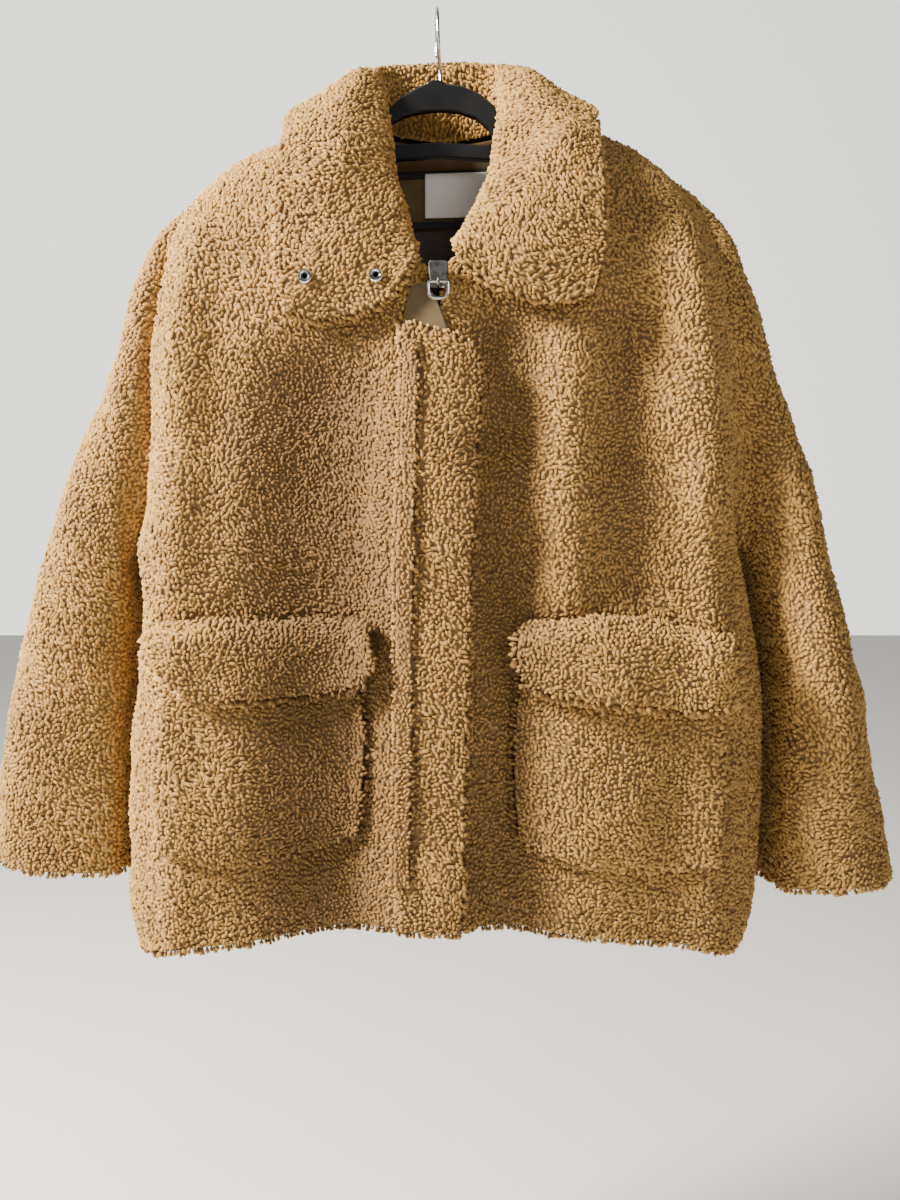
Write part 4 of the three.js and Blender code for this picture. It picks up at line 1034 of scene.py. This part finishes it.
for name, node, place, points, depth, wall, *rest in BEHIND_NECK:
    thin_sheet(name, node, inside_back(place, points, depth + wall), wall, *rest)
thin_sheet("facing_flap", "placket_facing", laid(FACING, cells(16), cells(16), FACING_LIFT), FACING_WALL, SUEDE,
           "tan_facing", (0.042, 0.034), 0.00085)
for side, (x0, x1) in ZIP_TAPES.items():
    rows = [[[mix(x0, x1, t) + zip_middle(z), z] for t in cells(3)] for z in ZIP_LEVELS]
    thin_sheet("tape_zip_" + side, "zip_tape_" + side, laid(rows, cells(5), cells(90), -WALL - 0.7), TAPE_WALL, TAPE,
               "black_tape", (0.010, 0.60), 0.0057)

# %% [markdown]
# ## Zip
# The closed chain is two rows of small teeth that mesh. One tooth is placed again and again along the zip's line
# by Geometry Nodes, every second one half a step further and turned to the other side.


# %% Metal finishes
def metal_finish(name, dark, light, rough, streak):
    f = Finish(name, metallic=1.0)
    place = f.place()
    wear = f.noise(f.stretched(place, (1.0, 1.0, streak)), 260.0, 3.0)
    return f.feed(base_color=f.ramp(wear, (0.3, dark), (0.7, light)), roughness=wear * 0.16 + rough,
                  normal=f.bump(wear, 0.00008, 0.4))


CHROME = metal_finish("polished_metal", (0.62, 0.61, 0.60), (0.78, 0.77, 0.76), 0.12, 1.0)
GUNMETAL = metal_finish("dark_metal", (0.10, 0.095, 0.09), (0.20, 0.19, 0.18), 0.24, 1.0)
STEEL = metal_finish("steel_wire", (0.42, 0.42, 0.42), (0.60, 0.60, 0.60), 0.20, 0.15)

# %% Zip chain
TOOTH_PITCH, TOOTH_THICK = 1.7, 2.6
TOOTH_HALF = [(-3.0, 0.75), (0.4, 0.55), (1.5, 0.85), (2.0, 0.45)]  # x and z of its upper outline
CHAIN_DEPTH, CHAIN_TOP = 11.4, -284


def tooth_object():
    """A tooth across the chain: wide in its tape, with a rounded head that hooks behind its neighbour."""
    half = np.array(TOOTH_HALF)
    outline = np.concatenate([half, half[::-1] * (1, -1)])
    ring = len(outline)
    points = [(x, y, z) for y in (-TOOTH_THICK / 2, TOOTH_THICK / 2) for x, z in outline]
    faces = [list(range(ring))[::-1], list(range(ring, 2 * ring))]
    faces += [[k, (k + 1) % ring, ring + (k + 1) % ring, ring + k] for k in range(ring)]
    tooth = make_mesh("tooth", points, faces)
    tooth.data.polygons.foreach_set("use_smooth", [False] * len(tooth.data.polygons))
    return tooth


def chain_tree(tooth):
    g = GrowTree("zip chain", "Line", {"Pitch": TOOTH_PITCH * MM})
    curve = g.node("GeometryNodeMeshToCurve", None, {"Mesh": g.given["Line"]})
    points = g.node("GeometryNodeCurveToPoints", {"mode": "LENGTH"}, {"Curve": curve, "Length": g.given["Pitch"]})
    count = g.node("GeometryNodeInputIndex")
    turn = g.node("ShaderNodeCombineXYZ", None, {1: count.maths("MODULO", count, 2.0) * math.pi})
    shape = g.node("GeometryNodeObjectInfo", None, {"Object": tooth}, "Geometry")
    return g.end(g.node("GeometryNodeInstanceOnPoints", None, {"Points": points, "Instance": shape, "Rotation": turn}))


zip_points = []
for z in np.linspace(ZIP_LEVELS[0], CHAIN_TOP, 200):
    x = zip_middle(z)
    zip_points.append((x, on_sheet(FRONT_RAYS, x, z) + CHAIN_DEPTH, z))
zip_line = bpy.data.meshes.new("zip line")
zip_line.from_pydata((np.array(zip_points) * MM).tolist(), [(k, k + 1) for k in range(len(zip_points) - 1)], [])
tooth = tooth_object()
teeth = chain_tree(tooth).grow_on(add_object("zip line", zip_line), Finish=GUNMETAL)
for name in [a.name for a in teeth.attributes if a.name in ("tangent", "normal", "rotation")]:
    teeth.attributes.remove(teeth.attributes[name])
chain = add_object("zip_teeth", teeth)
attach(chain, "coat")
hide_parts("zip_chain")
bpy.data.objects.remove(tooth)
print("zip teeth", len(teeth.polygons) // (2 * len(TOOTH_HALF) + 2))

# %% [markdown]
# ## Finishes for the hard parts
# The slider, its pull ring, the snaps and the hanger keep the CAD mesh, and only get their finish here.


# %% Hard parts
def plastic_finish():
    f = Finish("black_plastic", specular_ior_level=0.3)
    place = f.place()
    grain = f.noise(place, 500.0, 2.0)
    scuff = f.noise(place, 30.0, 4.0)
    return f.feed(base_color=f.ramp(scuff, (0.3, (0.004, 0.004, 0.005)), (0.8, (0.010, 0.010, 0.011))),
                  roughness=scuff * 0.2 + 0.28, normal=f.bump(grain, 0.0001, 0.3))


# the snap's dark middle is painted shade in its well; the ring is its own bright metal
SNAP_WELL_SHADE, SNAP_RING = (0.36, (0.015, 0.014, 0.013)), (0.56, (0.80, 0.79, 0.77))
PER_SQUARE_METRE = 1.0e5  # brings the squared distance to the ramp's 0 to 1


def snap_finish(node):
    """Bright ring and a dark well, whose darkness is painted shade: the colour follows the squared distance from the
    snap's middle.
    """
    corners = np.array([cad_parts[node].matrix_world @ Vector(c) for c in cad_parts[node].bound_box])
    centre = (corners.min(0) + corners.max(0)) / 2
    print(node, "middle", centre.round(4))
    f = Finish("polished_" + node, metallic=1.0, roughness=0.16)
    x, z = (f.node("ShaderNodeSeparateXYZ", None, {0: f.place()}, out=k) - float(centre[k]) for k in (0, 2))
    return f.feed(base_color=f.ramp((x * x + z * z) * PER_SQUARE_METRE, SNAP_WELL_SHADE, SNAP_RING))


for node, finish in {"zip_slider": GUNMETAL, "zip_pull": CHROME, "snap_outer": snap_finish("snap_outer"),
                     "snap_inner": snap_finish("snap_inner"), "hanger_hook": STEEL,
                     "hanger_body": plastic_finish()}.items():
    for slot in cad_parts[node].material_slots:
        slot.material = finish
    print(node, "keeps its CAD mesh with", finish.name)

# %% [markdown]
# ## The room
# The coat hangs over a pale floor. A window on the left throws a warm light across the folds, and a wide, weak one
# in front opens their shade a little.

# %% Floor and lights
FLOOR_Z, FLOOR_HALF = -1.5, 8
floor_mesh = bpy.data.meshes.new("floor")
floor_mesh.from_pydata([(x * FLOOR_HALF, y * FLOOR_HALF, FLOOR_Z) for x, y in ((-1, -1), (1, -1), (1, 1), (-1, 1))],
                       [], [(0, 1, 2, 3)])
floor = add_object("floor", floor_mesh)
floor_finish = Finish("pale_floor", roughness=0.7)
floor_mesh.materials.append(floor_finish.feed(base_color=floor_finish.ramp(
    floor_finish.noise(floor_finish.place(), 3.0), (0.0, (0.70, 0.69, 0.67)), (1.0, (0.76, 0.75, 0.73)))))


def area_light(name, place, aim, size, watts, colour):
    light = add_object(name, bpy.data.lights.new(name, "AREA"))
    light.data.shape, light.data.size, light.data.energy, light.data.color = "DISK", size, watts, colour
    light.location = place
    light.rotation_euler = (Vector(aim) - Vector(place)).to_track_quat("-Z", "Y").to_euler()


area_light("window", (-2.1, -0.72, 0.95), (0, -0.1, -0.5), 0.7, 400, (1.0, 0.93, 0.80))
area_light("room", (0.9, -2.2, 0.5), (0, 0, -0.5), 1.6, 16, (0.96, 0.98, 1.0))

# %% [markdown]
# ## The world's light
# The room's walls are the world's light: pale and bright behind the coat and on the window's side, as a white door
# is, and dimmer in front, so that the folds keep their shade. A ramp over the direction gives this.

# %% World
world = bpy.data.worlds.new("studio")
world.use_nodes = True
w = Tree(world.node_tree)
towards = w.node("ShaderNodeTexCoord", out="Generated")
behind, sideways = (w.node("ShaderNodeSeparateXYZ", None, {"Vector": towards}, axis) for axis in "YX")
IN_FRONT, BESIDE, BEHIND = (0.0, (0.022, 0.022, 0.022)), (0.5, (0.08, 0.08, 0.08)), (0.9, (0.92, 0.90, 0.86))
room = w.node("ShaderNodeValToRGB", {"stops": [IN_FRONT, BESIDE, BEHIND]},
              {0: behind * 0.45 - sideways * 0.10 + 0.5})
backdrop = next(n for n in world.node_tree.nodes if n.type == "BACKGROUND")
world.node_tree.links.new(room.socket, backdrop.inputs["Color"])
backdrop.inputs["Strength"].default_value = 2.0
bpy.context.scene.world = world

# %% [markdown]
# ## Sizes
# The lock shapes have done their work and go, and the triangles of all meshes are counted.

# %% Sizes
for lock in LOCKS:
    bpy.data.objects.remove(lock)
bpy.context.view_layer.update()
meshes = [o.data for o in bpy.data.objects if o.type == "MESH"]
print("triangles in all", sum(len(mesh.loops) - 2 * len(mesh.polygons) for mesh in meshes))
